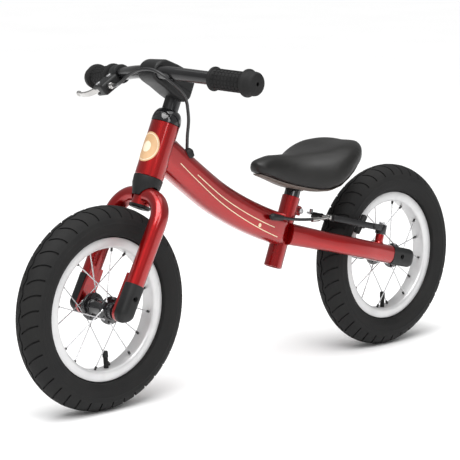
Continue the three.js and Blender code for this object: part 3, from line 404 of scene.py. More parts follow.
gloss_black = finish(
    "gloss_black", (0.006, 0.006, 0.007), (0.012, 0.012, 0.013), (0.08, 0.14), 20, 900, lift=0.03, coat=0.6
)
satin_black = finish(
    "satin_black_plastic", (0.006, 0.0062, 0.0065), (0.011, 0.0112, 0.0115), (0.42, 0.52), 30, 1500,
    lift=0.12, shine=0.3,
)
dome = [
    (22.7, 85.3), (22.75, 89), (22.3, 93), (21.4, 97), (20.2, 100), (18.6, 102.8), (16.4, 105.2),
    (14.6, 106.2), (13.1, 106.3), (13.1, 102.3), (15.6, 100.6), (17.6, 98), (18.9, 94), (19.6, 89.6),
    (20.1, 85.3),
]
put(turn("headset_dome", dome, 72), steering, gloss_black, "frame", "gloss_black", "headset_cover")

bright_steel = finish(
    "bright_steel", (0.45, 0.45, 0.46), (0.58, 0.58, 0.59), (0.22, 0.34), 50, 1200, lift=0.08, metal=0.95
)
for node in ("headset_bearing_upper", "headset_bearing_lower"):
    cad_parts[node].data.materials.clear()
    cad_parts[node].data.materials.append(bright_steel)

def rounded_block(name, size, middle, corner, segments=4):
    """A block with all its edges rounded."""
    bpy.ops.object.select_all(action="DESELECT")
    bpy.ops.mesh.primitive_cube_add(size=1, location=middle)
    block = bpy.context.object
    block.name = name
    block.scale = size
    bpy.ops.object.transform_apply(location=True, rotation=True, scale=True)
    return soften(block, corner, segments)


lower_collar = turn(
    "fork_collar",
    [
        (14.6, -0.3), (21.8, -0.3), (22.5, -0.9), (22.6, -3), (22, -13), (20.4, -30), (19.6, -31),
        (16.2, -31), (16.2, -13), (14.6, -12.4),
    ],
    96,
)
cut_away(lower_collar, rod("crown_space", 15.4, 60, (0, 0, -29.5), "X", 64))
for vertex in lower_collar.data.vertices:
    vertex.co.x *= 1 - 0.45 * max(0, (-15 - vertex.co.z) / 16) ** 1.3
put(lower_collar, steering, satin_black, "fork", "black_plastic", "lower_collar")

# ---- main tube ---------------------------------------------------------------------------------
# One flattened round steel tube, 42 by 52 mm, bent down from the head tube, levelling out and drawn
# in to 30 mm at the seat tube, welded to both. Two slim cream lines and a dot are printed on each side.

MAIN_LINE = [
    (-203, 386), (-172.7, 361.3), (-130, 328.5), (-84.5, 296),
    (-38.8, 270), (7.2, 248.3), (53.5, 230), (69, 224.6),
]
main_stations = stations_on(smooth_line([(0, y, z) for y, z in MAIN_LINE], 56), (1, 0, 0))


def oval_section(width, height, corner, steps=8):
    """A rectangle with round corners."""
    points = []
    for k, (sx, sy) in enumerate(((1, 1), (-1, 1), (-1, -1), (1, -1))):
        for step in range(steps + 1):
            a = (k + step / steps) * pi / 2
            x = sx * (width / 2 - corner) + corner * cos(a)
            points.append((x, sy * (height / 2 - corner) + corner * sin(a)))
    return points


seat_frame = MM @ Matrix.Translation((0, 46.4, 167.7)) @ Matrix.Rotation(radians(68.8 - 90), 4, "X")


def tool_in(place, radius, length, middle=0):
    """A round cutter on another frame's Z axis."""
    bit = rod("cutter", radius, length, (0, 0, middle), "Z", 64)
    bit.data.transform(MM.inverted() @ place)
    return bit


narrowed = [
    station @ Matrix.Diagonal((1 - 0.3 * max(0, (k - 44) / 11) ** 1.5, 1, 1, 1))
    for k, station in enumerate(main_stations)
]
main_tube = pull_along("main_tube_painted", oval_section(42, 52, 18), narrowed)
cut_away(main_tube, tool_in(steering, 22.6, 300), tool_in(seat_frame, 15.1, 400))
put(main_tube, MM, red_paint, "frame", "red_paint", "main_tube")

print_cream = finish("printed_cream", (0.70, 0.58, 0.38), (0.80, 0.68, 0.48), (0.3, 0.4), 60, 1500, 0.05)


def printed_line(name, side, rise_from, rise_to, first, last, width):
    """A printed line that follows the side of the main tube, rising from one height to another."""
    rail = main_stations[first:last]
    rows = []
    for k, station in enumerate(rail):
        rise = rise_from + (rise_to - rise_from) * k / (len(rail) - 1)
        strip = []
        for edge in (-width / 2, width / 2):
            h = rise + edge
            over = max(0, abs(h) - 8)
            x = 21 if over == 0 else 3 + (18**2 - over**2) ** 0.5
            strip.append((side * x, h))
        rows.append((station, strip))
    station, (low_edge, high_edge) = rows[0]
    sunk, proud = side * -0.25, side * 0.12
    ends = ((low_edge, sunk), (high_edge, sunk), (high_edge, proud), (low_edge, proud))
    piece = lay_loop(name, [station @ Vector((x + out, y, 0)) for (x, y), out in ends])
    bpy.ops.mesh.edge_face_add()
    for (last_station, last_strip), (next_station, next_strip) in zip(rows, rows[1:]):
        bpy.ops.mesh.extrude_region_move()
        for vertex in bmesh.from_edit_mesh(piece.data).verts:
            if vertex.select:
                x, y, z = last_station.inverted() @ vertex.co
                low = min((0, 1), key=lambda i: abs(last_strip[i][1] - y))
                x += next_strip[low][0] - last_strip[low][0]
                y += next_strip[low][1] - last_strip[low][1]
                vertex.co = next_station @ Vector((x, y, z))
    return put(close_up(piece), MM, print_cream, "frame", "red_paint")


for side, word in ((1, "left"), (-1, "right")):
    printed_line(f"line_upper_{word}", side, 2, 15, 8, 46, 1.3)
    printed_line(f"line_lower_{word}", side, -3, 2, 14, 44, 1.3)
    dot = rod(f"dot_{word}", 3.2, 0.4, (side * 20.97, 0, 0), "X", 24)
    dot.data.transform(main_stations[38] @ Matrix.Translation((0, 8, 0)))
    put(dot, MM, print_cream, "frame", "red_paint")

# ---- seat tube and its clamp -------------------------------------------------------------------
# A round steel tube through the rear of the main tube, open at both ends, with a slit behind its
# upper end between two ears, drawn together by a bolt.

seat_profile = [
    (13, 0.4), (13.4, 0), (14.3, 0), (14.8, 0.5), (14.8, 117.5), (14.3, 118), (13.4, 118), (13, 117.6),
]
seat_tube = turn("seat_tube_turned", seat_profile, 64)
ears = rounded_block("ears", (13, 12, 16), (0, 19.8, 100), 2.6)
cut_away(ears, rod("bore", 13.6, 60, (0, 0, 100), "Z", 64), rod("hole", 2.8, 30, (0, 21.3, 100), "X"))
for part in (seat_tube, ears):
    cut_away(part, rounded_block("slit", (2.4, 20, 32.3), (0, 20.8, 103), 0.2, 1))
seat_tube = joined("seat_tube_painted", seat_tube, ears)
put(seat_tube, seat_frame, red_paint, "frame", "red_paint", "seat_tube")

pinch_bolt = rod("pinch_shank", 2.5, 20, (0, 21.3, 100), "X", 20)
pinch_head = soften(rod("pinch_head", 4.6, 4, (8.8, 21.3, 100), "X", 32), 0.6)
cut_away(pinch_head, rod("socket", 2.3, 3, (10.6, 21.3, 100), "X", 6))
pinch_nut = soften(rod("pinch_nut", 4.4, 4, (-8.8, 21.3, 100), "X", 6), 0.5)
clamp_bolt = joined("seat_pinch_bolt", pinch_bolt, pinch_head, pinch_nut)
put(clamp_bolt, seat_frame, bright_steel, "frame", "steel", "seat_clamp_bolt")

# ---- chainstays --------------------------------------------------------------------------------
# Two flattened round tubes, 24 by 31 mm, from the seat tube out round the rear tyre to the axle. A
# steel dropout plate is let into each rear end, and a short post for the brake stands on top.

STAY_LINE = [(16, -256), (23, -222), (34, -184), (45, -146), (50.5, -112), (51, -80), (51, -45)]


def dropout(side):
    """The plate in a tube's end, with a round foot round the axle."""
    foot = [(13.4 * cos(pi + pi * k / 16), 13.4 * sin(pi + pi * k / 16)) for k in range(17)]
    shape = [*foot, (12, 59), (-12, 59)]
    plate = lay_loop("dropout", [(side * 38.8, y, z) for y, z in shape])
    bpy.ops.mesh.edge_face_add()
    bpy.ops.mesh.extrude_region_move(TRANSFORM_OT_translate={"value": (side * 5, 0, 0)})
    close_up(plate)
    return cut_away(plate, rod("axle_hole", 5.05, 30, (side * 41, 0, 0), "X"))


for side, word in ((1, "left"), (-1, "right")):
    run = stations_on(smooth_line([(side * x, y, 0) for x, y in STAY_LINE], 44), (1, 0, 0))
    run = [s @ Matrix.Diagonal((1, 1 + 0.15 * max(0, 1 - k / 14), 1, 1)) for k, s in enumerate(run)]
    stay = pull_along("stay", oval_section(24, 31, 11.4), run)
    seat_cutter = tool_in(seat_frame, 15.1, 400)
    seat_cutter.data.transform((stay_frame.inverted() @ MM))
    cut_away(stay, seat_cutter)
    plate = dropout(side)
    plate.data.transform(Matrix.Rotation(pi / 2, 4, "X"))
    post = soften(rod("post", 7, 24, (side * 48, -73, 18), "Z", 40), 0.6)
    collar_weld = turn("weld", [(6.5, 0.5), (9.4, 0), (8.2, 1.5), (7.1, 3.4), (6.5, 3.4)], 40)
    collar_weld.data.transform(Matrix.Translation((side * 48, -73, 14.4)))
    stay = joined(f"chainstay_painted_{word}", stay, plate, post, collar_weld)
    put(stay, stay_frame, red_paint, "frame", "red_paint", f"chainstay_{word}")

# ---- covers over the tube ends -----------------------------------------------------------------
# Satin black plastic caps that carry the stays and the fork legs on past the axle nuts. Each is held
# by one screw through its middle.


def end_cover(name, side, deep, place, body, node, lay_back=False):
    """A cap with a rounded outside and a flat inside, and a round foot round the axle."""
    heights = [44.7, 40, 34, 28, 20, 12, 5, 0]
    heights += [-deep / 2 * sin(pi / 2 * k / 9) for k in range(1, 9)] + [-deep / 2 * 0.999]
    rings = []
    for z in heights:
        half = deep / 2 if z >= 0 else max(0.8, ((deep / 2) ** 2 - z * z) ** 0.5)
        round_off = 1 if z >= 0 else max(0.45, half / (deep / 2))
        rings.append((z, half, 44.1 + 19.4 * round_off))
    corner = 9.5

    def section(half, outside):
        c = min(corner, half * 0.75, (outside - 44.1) * 0.6)
        points = [(44.1, half - 0.6), (44.1, -half + 0.6), (44.9, -half)]
        for k in range(9):
            a = -pi / 2 + pi / 2 * k / 8
            points.append((outside - c + c * cos(a), -half + c + c * sin(a)))
        for k in range(9):
            a = pi / 2 * k / 8
            points.append((outside - c + c * cos(a), half - c + c * sin(a)))
        points.append((44.9, half))
        return points

    z, half, outside = rings[0]
    cap = lay_loop(name, [(side * x, y, z) for x, y in section(half, outside)])
    bpy.ops.mesh.edge_face_add()
    for (z0, h0, o0), (z1, h1, o1) in zip(rings, rings[1:]):
        before = [Vector((side * x, y, z0)) for x, y in section(h0, o0)]
        after = [Vector((side * x, y, z1)) for x, y in section(h1, o1)]
        bpy.ops.mesh.extrude_region_move()
        for vertex in bmesh.from_edit_mesh(cap.data).verts:
            if vertex.select:
                nearest = min(range(len(before)), key=lambda i: (before[i] - vertex.co).length)
                vertex.co = after[nearest]
    close_up(cap)
    cut_away(
        cap,
        rod("nut_space", 10, 14, (side * 47, 0, 0), "X"),
        rod("screw_hole", 2.6, 60, (side * 53, 0, 24), "X"),
        rod("sink", 4.2, 3.2, (side * 63.2, 0, 24), "X"),
    )
    if lay_back:
        cap.data.transform(Matrix.Rotation(pi / 2, 4, "X"))
    return put(cap, place, satin_black, body, "black_plastic", node)


end_cover("rear_cap_left", 1, 31, stay_frame, "frame", "rear_cover_left", True)
end_cover("rear_cap_right", -1, 31, stay_frame, "frame", "rear_cover_right", True)

# ---- fork --------------------------------------------------------------------------------------
# Two bent tubes welded to a steerer that turns in the head tube, painted as the frame is. The legs
# lean back a little, so the axle lies ahead of the steering axis.

crown_frame = steering @ Matrix.Translation((0, 0, -28.5)) @ Matrix.Rotation(-atan2(11.9, 180.5), 4, "X")
LEG = hypot(180.5, 11.9)
for side, word in ((1, "left"), (-1, "right")):
    bend = [(14 + 37 * cos(pi / 2 * (1 - k / 5)), 37 * (sin(pi / 2 * (1 - k / 5)) - 1)) for k in range(6)]
    foot = 45 - LEG
    knots = [(10.3, 0), *bend, (51, foot * 0.55), (51, foot)]
    run = stations_on(smooth_line([(side * x, 0, z) for x, z in knots], 48), (0, 1, 0))
    leg = pull_along("leg", oval_section(28, 25, 12), run)
    steerer_cutter = tool_in(steering, 14.6, 130)
    steerer_cutter.data.transform(crown_frame.inverted() @ MM)
    cut_away(leg, steerer_cutter)
    plate = dropout(side)
    plate.data.transform(Matrix.Translation((0, 0, -LEG)))
    leg = joined(f"fork_leg_painted_{word}", leg, plate)
    put(leg, crown_frame, red_paint, "fork", "red_paint", f"fork_leg_{word}")
    cap_frame = crown_frame @ Matrix.Translation((0, 0, -LEG))
    end_cover(f"fork_cap_{word}", side, 28, cap_frame, "fork", f"fork_cover_{word}")

steerer_profile = [(12.9, -44), (14.3, -44), (14.3, 98), (12.9, 98)]
put(turn("steerer_turned", steerer_profile, 48), steering, red_paint, "fork", "red_paint", "steerer_tube")
cap_profile = [(5, -44.3), (5, -49.3), (13, -49.3), (15.4, -48.8), (16.8, -47.2), (17, -44.3)]
put(turn("crown_plug", cap_profile, 48), steering, satin_black, "fork", "black_plastic", "crown_cap")

# ---- wheels ------------------------------------------------------------------------------------
# Two 12 1/2 inch wheels: a butyl tyre 52 mm wide with a waved centre groove and curved slots out to
# the shoulders, an anodised aluminium rim, sixteen steel spokes in crossed pairs and a black hub.

tyre_rubber = finish(
    "tyre_rubber", (0.007, 0.007, 0.0073), (0.013, 0.0128, 0.0125), (0.66, 0.8), 25, 1400, 0.25, shine=0.25
)
rim_silver = finish(
    "satin_anodised_rim", (0.58, 0.58, 0.585), (0.68, 0.68, 0.68), (0.3, 0.4), 30, 900, 0.06, 0.35
)
spoke_steel = finish("spoke_steel", (0.50, 0.50, 0.51), (0.62, 0.62, 0.63), (0.2, 0.3), 60, 900, 0.05, 0.95)
nipple_dark = finish("nipple_dark", (0.03, 0.03, 0.03), (0.07, 0.07, 0.07), (0.3, 0.4), 60, 900, 0.05, 0.6)
PITCHES, PER_PITCH = 40, 8
crown = [3, 6, 9, 14, 20, 26, 32, 38, 44, 50, 56, 62]
wall = [66, 69, 71, 76, 80, 84, 86, 88, 96, 104, 110, 112, 116, 124, 132]
raised = {69: 0.4, 71: 0.4, 86: 0.45, 110: 0.4, 112: 0.4}


def tyre_profile():
    """The closed section of the casing as (radius, x, angle round the section) points."""
    half = [(a, 26 + raised.get(a, 0)) for a in [*crown, *wall]]
    outside = [(-a, r) for a, r in reversed(half)] + [(0, 26)] + half
    points = [(128 + r * cos(radians(a)), r * sin(radians(a)), a) for a, r in outside]
    bead = [(109, 12.1, 180), (101.8, 12.1, 180), (101.8, 9.5, 180), (109, 9.5, 180)]
    inner = [(128 + 22.4 * cos(radians(a)), 22.4 * sin(radians(a)), 200) for a in range(132, -133, -12)]
    other = [(r, -x, a) for r, x, a in reversed(bead)]
    return points + bead + inner + other


def tyre(name):
    profile = tyre_profile()
    piece = lay_loop(name, [(x, r, 0) for r, x, _ in profile])
    steps = PITCHES * PER_PITCH
    bpy.ops.mesh.spin(steps=steps, angle=2 * pi, center=(0, 0, 0), axis=(1, 0, 0))
    bpy.ops.mesh.select_all(action="SELECT")
    bpy.ops.mesh.remove_doubles(threshold=0.002)
    bpy.ops.mesh.normals_make_consistent(inside=False)
    work = bmesh.from_edit_mesh(piece.data)
    pitch = 2 * pi / PITCHES
    for face in work.faces:
        x, y, z = face.calc_center_median()
        radius = hypot(y, z)
        round_section = abs(atan2(x, radius - 128))
        outside = hypot(x, radius - 128) > 24.4
        column = int((atan2(z, y) % (2 * pi)) / pitch * PER_PITCH) % PER_PITCH
        if x < 0:
            column = (column + PER_PITCH // 2) % PER_PITCH
        centre = round_section < radians(3)
        slot = radians(8) < round_section < radians(66) and column == 0
        face.select_set(outside and (centre or slot))
    for vertex in work.verts:
        x, y, z = vertex.co
        radius, around = hypot(y, z), atan2(z, y) % (2 * pi)
        if hypot(x, radius - 128) < 24.4:
            continue
        section = min(abs(atan2(x, radius - 128)), radians(66)) / radians(66)
        around += 0.11 * (1 - section) ** 2
        wave = 1.9 * sin(around * PITCHES) * max(0, 1 - abs(x) / 7)
        vertex.co = (x + wave, radius * cos(around), radius * sin(around))
    bmesh.update_edit_mesh(piece.data)
    bpy.ops.mesh.select_mode(type="FACE")
    bpy.ops.mesh.extrude_region_shrink_fatten(TRANSFORM_OT_shrink_fatten={"value": -2.1})
    bpy.ops.mesh.select_mode(type="VERT")
    bpy.ops.object.mode_set(mode="OBJECT")
    return piece


def rim(name, valve_turn):
    edge = [
        (92, 11), (92.6, 12.2), (94.6, 13.9), (96.4, 14.4), (107, 14.4), (107.7, 14.1), (108, 13.4),
        (107.7, 12.7), (107, 12.4), (101.6, 12.4), (101.4, 9.2), (94, 7),
    ]
    piece = turn(name, [*edge, *[(r, -x) for r, x in reversed(edge)]], 144, "X")
    piece.data.transform(Matrix.Rotation(radians(0.7), 4, "X"))
    hole = rod("valve_hole", 3.9, 40, (0, 0, -92), "Z", 24)
    hole.data.transform(Matrix.Rotation(valve_turn, 4, "X"))
    return cut_away(piece, hole)


def spokes(name):
    """Steel wires with their heads in the hub's flanges, and dark nipples in the rim."""
    wires, nipples = [], []
    for k in range(16):
        side = 1 if k % 2 else -1
        at_rim = (k + 0.5) * pi / 8
        at_hub = at_rim + (1 if k // 2 % 2 else -1) * pi / 4
        start = Vector((side * 23.3, 18.5 * cos(at_hub), 18.5 * sin(at_hub)))
        end = Vector((side * 4, 91.6 * cos(at_rim), 91.6 * sin(at_rim)))
        lean = (end - start).to_track_quat("Z", "Y").to_euler()
        wire_rods = (0.95, 0, 1, wires), (1.9, 0.93, 1, nipples), (1.9, -0.012, 0.02, wires)
        for radius, first, last, kept in wire_rods:
            bpy.ops.object.select_all(action="DESELECT")
            bpy.ops.mesh.primitive_cylinder_add(
                vertices=12, radius=radius, depth=(end - start).length * (last - first),
                location=start.lerp(end, (first + last) / 2), rotation=lean,
            )
            wire = bpy.context.object
            bpy.ops.object.transform_apply(location=True, rotation=True, scale=True)
            kept.append(wire)
    return joined(name, *wires), joined(name + "_nipples", *[soften(n, 0.5, 2) for n in nipples])


def hub(name):
    half = [
        (8.1, 33), (12, 33), (13, 32.3), (13.4, 23.6), (20.2, 22), (21, 21.4), (21, 18.6), (20.2, 18),
        (14, 17), (12.4, 15), (11.4, 10), (11, 4),
    ]
    piece = turn(name, [*half, *[(r, -x) for r, x in reversed(half)]], 72, "X")
    holes = []
    for side in (-1, 1):
        for k in range(8):
            a = k * pi / 4 + pi / 8
            holes.append(rod("spoke_hole", 1.5, 8, (side * 20, 16.4 * cos(a), 16.4 * sin(a)), "X", 12))
    return cut_away(piece, *holes)


def axle(name):
    half = [
        (0, 54), (4.2, 54), (4.7, 53.4), (4.7, 38.4), (7.7, 38.2), (8, 37.6), (7.4, 33.9), (6.2, 33.6),
        (4.8, 32),
    ]
    pin = turn(name, [*half, *[(r, -x) for r, x in reversed(half)]], 48, "X")
    nuts = [soften(rod("nut", 8.4, 7, (side * 47.6, 0, 0), "X", 6), 0.7) for side in (-1, 1)]
    return joined(name, pin, *nuts)


def tube_and_valve(name, valve_turn):
    """The air tube, with its valve stem through the rim."""
    ring = [(127 + 19.8 * sin(2 * pi * k / 20), 19.8 * cos(2 * pi * k / 20)) for k in range(20)]
    air = turn(name, ring, 72, "X")
    stem = turn("stem", [(0, -110), (3.6, -110), (3.6, -76.6), (2.4, -76), (2.4, -68.4), (0, -68.4)], 24)
    stem.data.transform(Matrix.Rotation(valve_turn, 4, "X"))
    return joined(name, air, stem)


def valve_cap(name, valve_turn):
    cup = [
        (0, -66), (3.4, -66), (4.1, -66.8), (4.4, -68.4), (4.4, -75), (4, -75.7), (2.7, -75.7), (2.7, -67.4),
        (0, -67.4),
    ]
    cap = turn(name, cup, 36)
    bpy.ops.object.mode_set(mode="EDIT")
    work = bmesh.from_edit_mesh(cap.data)
    for face in work.faces:
        x, y, z = face.calc_center_median()
        column = int((atan2(y, x) % (2 * pi)) / (2 * pi) * 36)
        face.select_set(-75 < z < -68.4 and hypot(x, y) > 4.2 and column % 3 == 0)
    bpy.ops.mesh.select_mode(type="FACE")
    bpy.ops.mesh.extrude_region_shrink_fatten(TRANSFORM_OT_shrink_fatten={"value": -0.35})
    bpy.ops.mesh.select_mode(type="VERT")
    bpy.ops.object.mode_set(mode="OBJECT")
    cap.data.transform(Matrix.Rotation(valve_turn, 4, "X"))
    return cap


for end, y, valve_turn, axle_body in (("front", -315, radians(5), "fork"), ("rear", 315, 0, "frame")):
    middle, body = MM @ Matrix.Translation((0, y, 154)), f"{end}_wheel"
    put(tyre(f"{end}_tyre_treaded"), middle, tyre_rubber, body, "tyre", f"{end}_tyre")
    put(rim(f"{end}_rim_turned", valve_turn), middle, rim_silver, body, "aluminium", f"{end}_rim")
    wires, nipples = spokes(f"{end}_wires")
    put(wires, middle, spoke_steel, body, "steel", f"{end}_spokes")
    put(nipples, middle, nipple_dark, body, "steel")
    put(hub(f"{end}_hub_turned"), middle, gloss_black, body, "gloss_black", f"{end}_hub")
    put(axle(f"{end}_axle_turned"), middle, bright_steel, axle_body, "steel", f"{end}_axle")
    air = tube_and_valve(f"{end}_air_tube", valve_turn)
    put(air, middle, tyre_rubber, body, "black_rubber", f"{end}_inner_tube")
    cap = valve_cap(f"{end}_dust_cap", valve_turn)
    put(cap, middle, satin_black, body, "black_plastic", f"{end}_valve_cap")

# ---- stem and its cover ------------------------------------------------------------------------
# A quill stem that slides in the steerer, held by a long bolt and wedge. A moulded shroud, satin
# black, closes round its clamp and the middle of the bar.

black_steel = finish(
    "black_steel", (0.008, 0.008, 0.009), (0.016, 0.016, 0.017), (0.24, 0.34), 20, 900,
    lift=0.05, metal=0.3, coat=0.3,
)
quill = rod("quill", 12.5, 135, (0, 50, -59.5), "Z", 64)
arm = rounded_block("arm", (24, 50, 20), (0, 25, 0), 2)
ring = rod("ring", 11.3, 34, (0, 0, 0), "X", 48)
quill = joined("stem_quill", quill, arm, ring)
cut_away(
    quill, rod("bar_hole", 10.3, 60, (0, 0, 0), "X", 48), rod("bolt_hole", 4.3, 300, (0, 50, 0), "Z", 32)
)
put(quill, bar_frame, black_steel, "handlebar", "black_steel", "quill_stem")
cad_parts["stem_bolt"].data.materials.clear()
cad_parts["stem_bolt"].data.materials.append(bright_steel)

SHROUD = [
    (-13.5, -8), (-13.5, 9), (-6, 19), (4, 22.5), (26, 23), (50, 21.5), (66, 10), (66, -17),
    (58, -27), (36, -23), (14, -17.5), (-4, -14.5),
]
HOLLOW = [
    (-11, -6.5), (-11, 7.5), (-5, 16), (5, 19.5), (26, 20), (48.5, 18.6), (63, 8.5), (63, -15.5),
    (56, -24), (36, -20), (14, -14.6), (-3, -11.6),
]


def slab(name, shape, width, middle=0):
    """An outline in the (y, z) plane, given thickness along X."""
    piece = lay_loop(name, [(middle - width / 2, y, z) for y, z in shape])
    bpy.ops.mesh.edge_face_add()
    bpy.ops.mesh.extrude_region_move(TRANSFORM_OT_translate={"value": (width, 0, 0)})
    return close_up(piece)


shroud = slab("stem_shroud", SHROUD, 44)
bpy.ops.object.modifier_add(type="BEVEL")
corners = shroud.modifiers[-1]
corners.width = 5.5
corners.segments = 5
corners.angle_limit = radians(18)
bpy.ops.object.modifier_apply(modifier=corners.name)
seam = slab("seam", [(-20, 3.2), (80, -10.8), (80, -11.7), (-20, 2.3)], 60)
seam_core = slab("seam_core", SHROUD, 42.4)
cut_away(seam, seam_core)
cut_away(
    shroud,
    slab("hollow", HOLLOW, 39),
    rod("bar_hole", 10.6, 60, (0, 0, 0), "X", 48),
    rod("post_hole", 12.8, 60, (0, 50, -30), "Z", 48),
    seam,
)
put(shroud, bar_frame, satin_black, "handlebar", "black_plastic", "stem_cover")

# ---- handlebar and grips -----------------------------------------------------------------------
# A steel bar, 20 mm thick and swept back 12 degrees on each side, gloss black, with moulded rubber
# grips that have a stop on the inside and a large safety stop outside the hand.

places = [-205, -160, -110, -75, -52, -34, -18, 18, 34, 52, 75, 110, 160, 205]
bar_line = smooth_line([(x, max(0, abs(x) - 40) * tan(radians(12)), 0) for x in places], 64)
bar = pull_along("bar_tube", ring_section(10, 40), stations_on(bar_line, (0, 0, 1)))
put(bar, bar_frame, black_steel, "handlebar", "gloss_black", "handlebar")

grip_rubber = finish(
    "grip_rubber", (0.007, 0.007, 0.0072), (0.012, 0.012, 0.012), (0.6, 0.72), 40, 1800, 0.3, shine=0.25
)
for side, word in ((1, "left"), (-1, "right")):
    rows = [(15, 7 + 2.2 * k) for k in range(26)]
    profile = [
        (10.3, 0), (17, 0), (17.8, 0.6), (18, 1.6), (18, 2.8), (17.4, 3.8), (15.6, 4.6), (15, 6),
        *rows, (15.6, 63), (19.4, 63.5), (20.3, 64.2), (20.6, 65.4), (20.6, 67), (20, 68.3), (18.6, 69.2),
        (17.9, 70.6), (17.7, 78), (17.1, 81), (15.6, 83.2), (14, 84), (3.2, 84), (3, 83.6), (3, 81),
        (10.3, 81),
    ]
    grip = turn(f"grip_moulded_{word}", profile, 64, "X")
    bpy.ops.object.mode_set(mode="EDIT")
    work = bmesh.from_edit_mesh(grip.data)
    for face in work.faces:
        x, y, z = face.calc_center_median()
        row, column = int((x - 7) / 2.2), int((atan2(z, y) % (2 * pi)) / (2 * pi) * 64)
        block = row % 3 != 2 and column % 4 != 3
        face.select_set(7 < x < 61.9 and hypot(y, z) > 14.5 and block)
    bpy.ops.mesh.select_mode(type="FACE")
    bpy.ops.mesh.extrude_region_shrink_fatten(TRANSFORM_OT_shrink_fatten={"value": 0.7})
    bpy.ops.mesh.select_mode(type="VERT")
    bpy.ops.object.mode_set(mode="OBJECT")
    if side < 0:
        grip.data.transform(Matrix.Rotation(pi, 4, "Z"))
    put(grip, along_bar(side, 128), grip_rubber, "handlebar", "black_rubber", f"grip_{word}")

# ---- brake lever -------------------------------------------------------------------------------
# A two-finger lever on the rider's right: a moulded bracket clamped round the bar, a polished cast
# blade with a ball end on a pin, and a knurled barrel that takes up the slack in the wire.

clamp = soften(rod("clamp", 15, 20, (0, 0, 0), "X", 48), 1)
bracket_body = rounded_block("bracket_body", (35, 34, 19), (2.5, -27, 0), 4.2)
boss = soften(rod("boss", 6, 8, (17, -31, 0), "X", 32), 0.8)
blade_slot = rounded_block("blade_slot", (24, 22, 8.6), (-9, -36, 0), 0.4, 1)
for part in (clamp, bracket_body):
    cut_away(part, rod("bar_hole", 10.3, 50, (0, 0, 0), "X", 48))
cut_away(
    bracket_body,
    blade_slot,
    rod("pin_hole", 2.6, 30, (-5, -35, 0), "Z", 24),
    rod("bolt_hole", 2.3, 30, (5, -17, 0), "Z", 24),
)
bracket = joined("lever_bracket_moulded", clamp, bracket_body, boss)
cut_away(bracket, rod("wire_hole", 2.2, 30, (17, -31, 0), "X", 24))
put(bracket, lever_frame, satin_black, "handlebar", "black_plastic", "lever_bracket")

polished = finish(
    "polished_aluminium", (0.40, 0.39, 0.38), (0.52, 0.51, 0.50), (0.14, 0.24), 30, 700, 0.06, 0.95
)
blade_points = [(-12, -37.5, 0), (-17, -39, 0), (-33, -46, 0), (-55, -47.5, 0), (-79, -43.6, 0)]
blade_line = smooth_line(blade_points, 26)
blade_run = stations_on(blade_line, (0, 0, 1))
blade_run = [
    s @ Matrix.Diagonal((1.1 - 0.25 * k / 25, 1.25 - 0.3 * k / 25, 1, 1)) for k, s in enumerate(blade_run)
]
blade = pull_along("blade", oval_section(10, 4.4, 2.1, 4), blade_run)
knuckle = soften(rod("knuckle", 6.4, 7.4, (-5, -35, 0), "Z", 40), 0.8)
neck = rounded_block("neck", (14, 6.6, 7.2), (-12, -38, 0), 1.4)
bpy.ops.object.select_all(action="DESELECT")
bpy.ops.mesh.primitive_uv_sphere_add(segments=28, ring_count=16, radius=5, location=(-82, -43, 0))
ball = bpy.context.object
ball.scale = (1.05, 0.82, 1)
bpy.ops.object.transform_apply(location=True, rotation=True, scale=True)
cut_away(knuckle, rod("pin_hole", 2.6, 30, (-5, -35, 0), "Z", 24))
blade = joined("lever_blade_cast", blade, knuckle, neck, ball)
put(blade, lever_frame, polished, "brake_lever", "aluminium", "lever_blade")

pin = joined(
    "lever_pivot_pin",
    rod("pin", 2.3, 20, (-5, -35, 0), "Z", 24),
    soften(rod("pin_head", 4, 2, (-5, -35, 9.8), "Z", 32), 0.5),
)
put(pin, lever_frame, bright_steel, "handlebar", "steel", "lever_pin")
clamp_screw_head = soften(rod("screw_head", 3.8, 3, (5, -17, 10.5), "Z", 32), 0.5)
cut_away(clamp_screw_head, rod("socket", 2, 2.4, (5, -17, 11.6), "Z", 6))
clamp_screw = joined("lever_clamp_screw", rod("shank", 2, 24, (5, -17, 0), "Z", 20), clamp_screw_head)
put(clamp_screw, lever_frame, bright_steel, "handlebar", "steel", "lever_clamp_bolt")
barrel_profile = [
    (1.2, 12), (1.9, 12), (1.9, 21.3), (4.6, 21.3), (5, 21.8), (5, 26), (4.5, 26.6), (3.9, 27.4),
    (3.6, 28.4), (3.6, 34.2), (3.2, 35), (1.2, 35),
]
barrel = turn("slack_barrel", barrel_profile, 36, "X")
barrel.data.transform(Matrix.Translation((0, -31, 0)))
put(barrel, lever_frame, polished, "handlebar", "aluminium", "barrel_adjuster")

# ---- housing grommets --------------------------------------------------------------------------
# Moulded rubber plugs where the brake housing goes into the main tube behind the head tube and comes
# out again on the left, ahead of the seat tube.

upper_place = MM @ Matrix.Translation((14, -151, 373)) @ Matrix.Rotation(radians(20), 4, "X")
plug_profile = [
    (0, -13), (4.2, -13), (4.2, -7), (8, -7), (8, 0.6), (7.4, 2.2), (6, 4), (5, 5.4), (3.6, 6), (0, 6),
]
upper_plug = turn("housing_plug_upper", plug_profile, 40)
put(upper_plug, upper_place, satin_black, "frame", "black_rubber", "housing_grommet_upper")
hood_line = smooth_line([(26.7, 13, 257.2), (27.2, 24, 254.6), (26.9, 41, 251.2)], 20)
hood_run = stations_on(hood_line, (1, 0, 0))
swell = [min(1, 0.45 + 0.12 * k) * (1 - 0.016 * max(0, k - 8)) for k in range(20)]
hood_run = [s @ Matrix.Diagonal((w, w, 1, 1)) for s, w in zip(hood_run, swell)]
hood = pull_along("hood", ring_section(5.4, 28), hood_run)
hood = joined("housing_plug_lower", hood, rod("plug", 4.3, 8, (21.5, 26, 254), "X", 28))
put(hood, MM, satin_black, "frame", "black_rubber", "housing_grommet_lower")

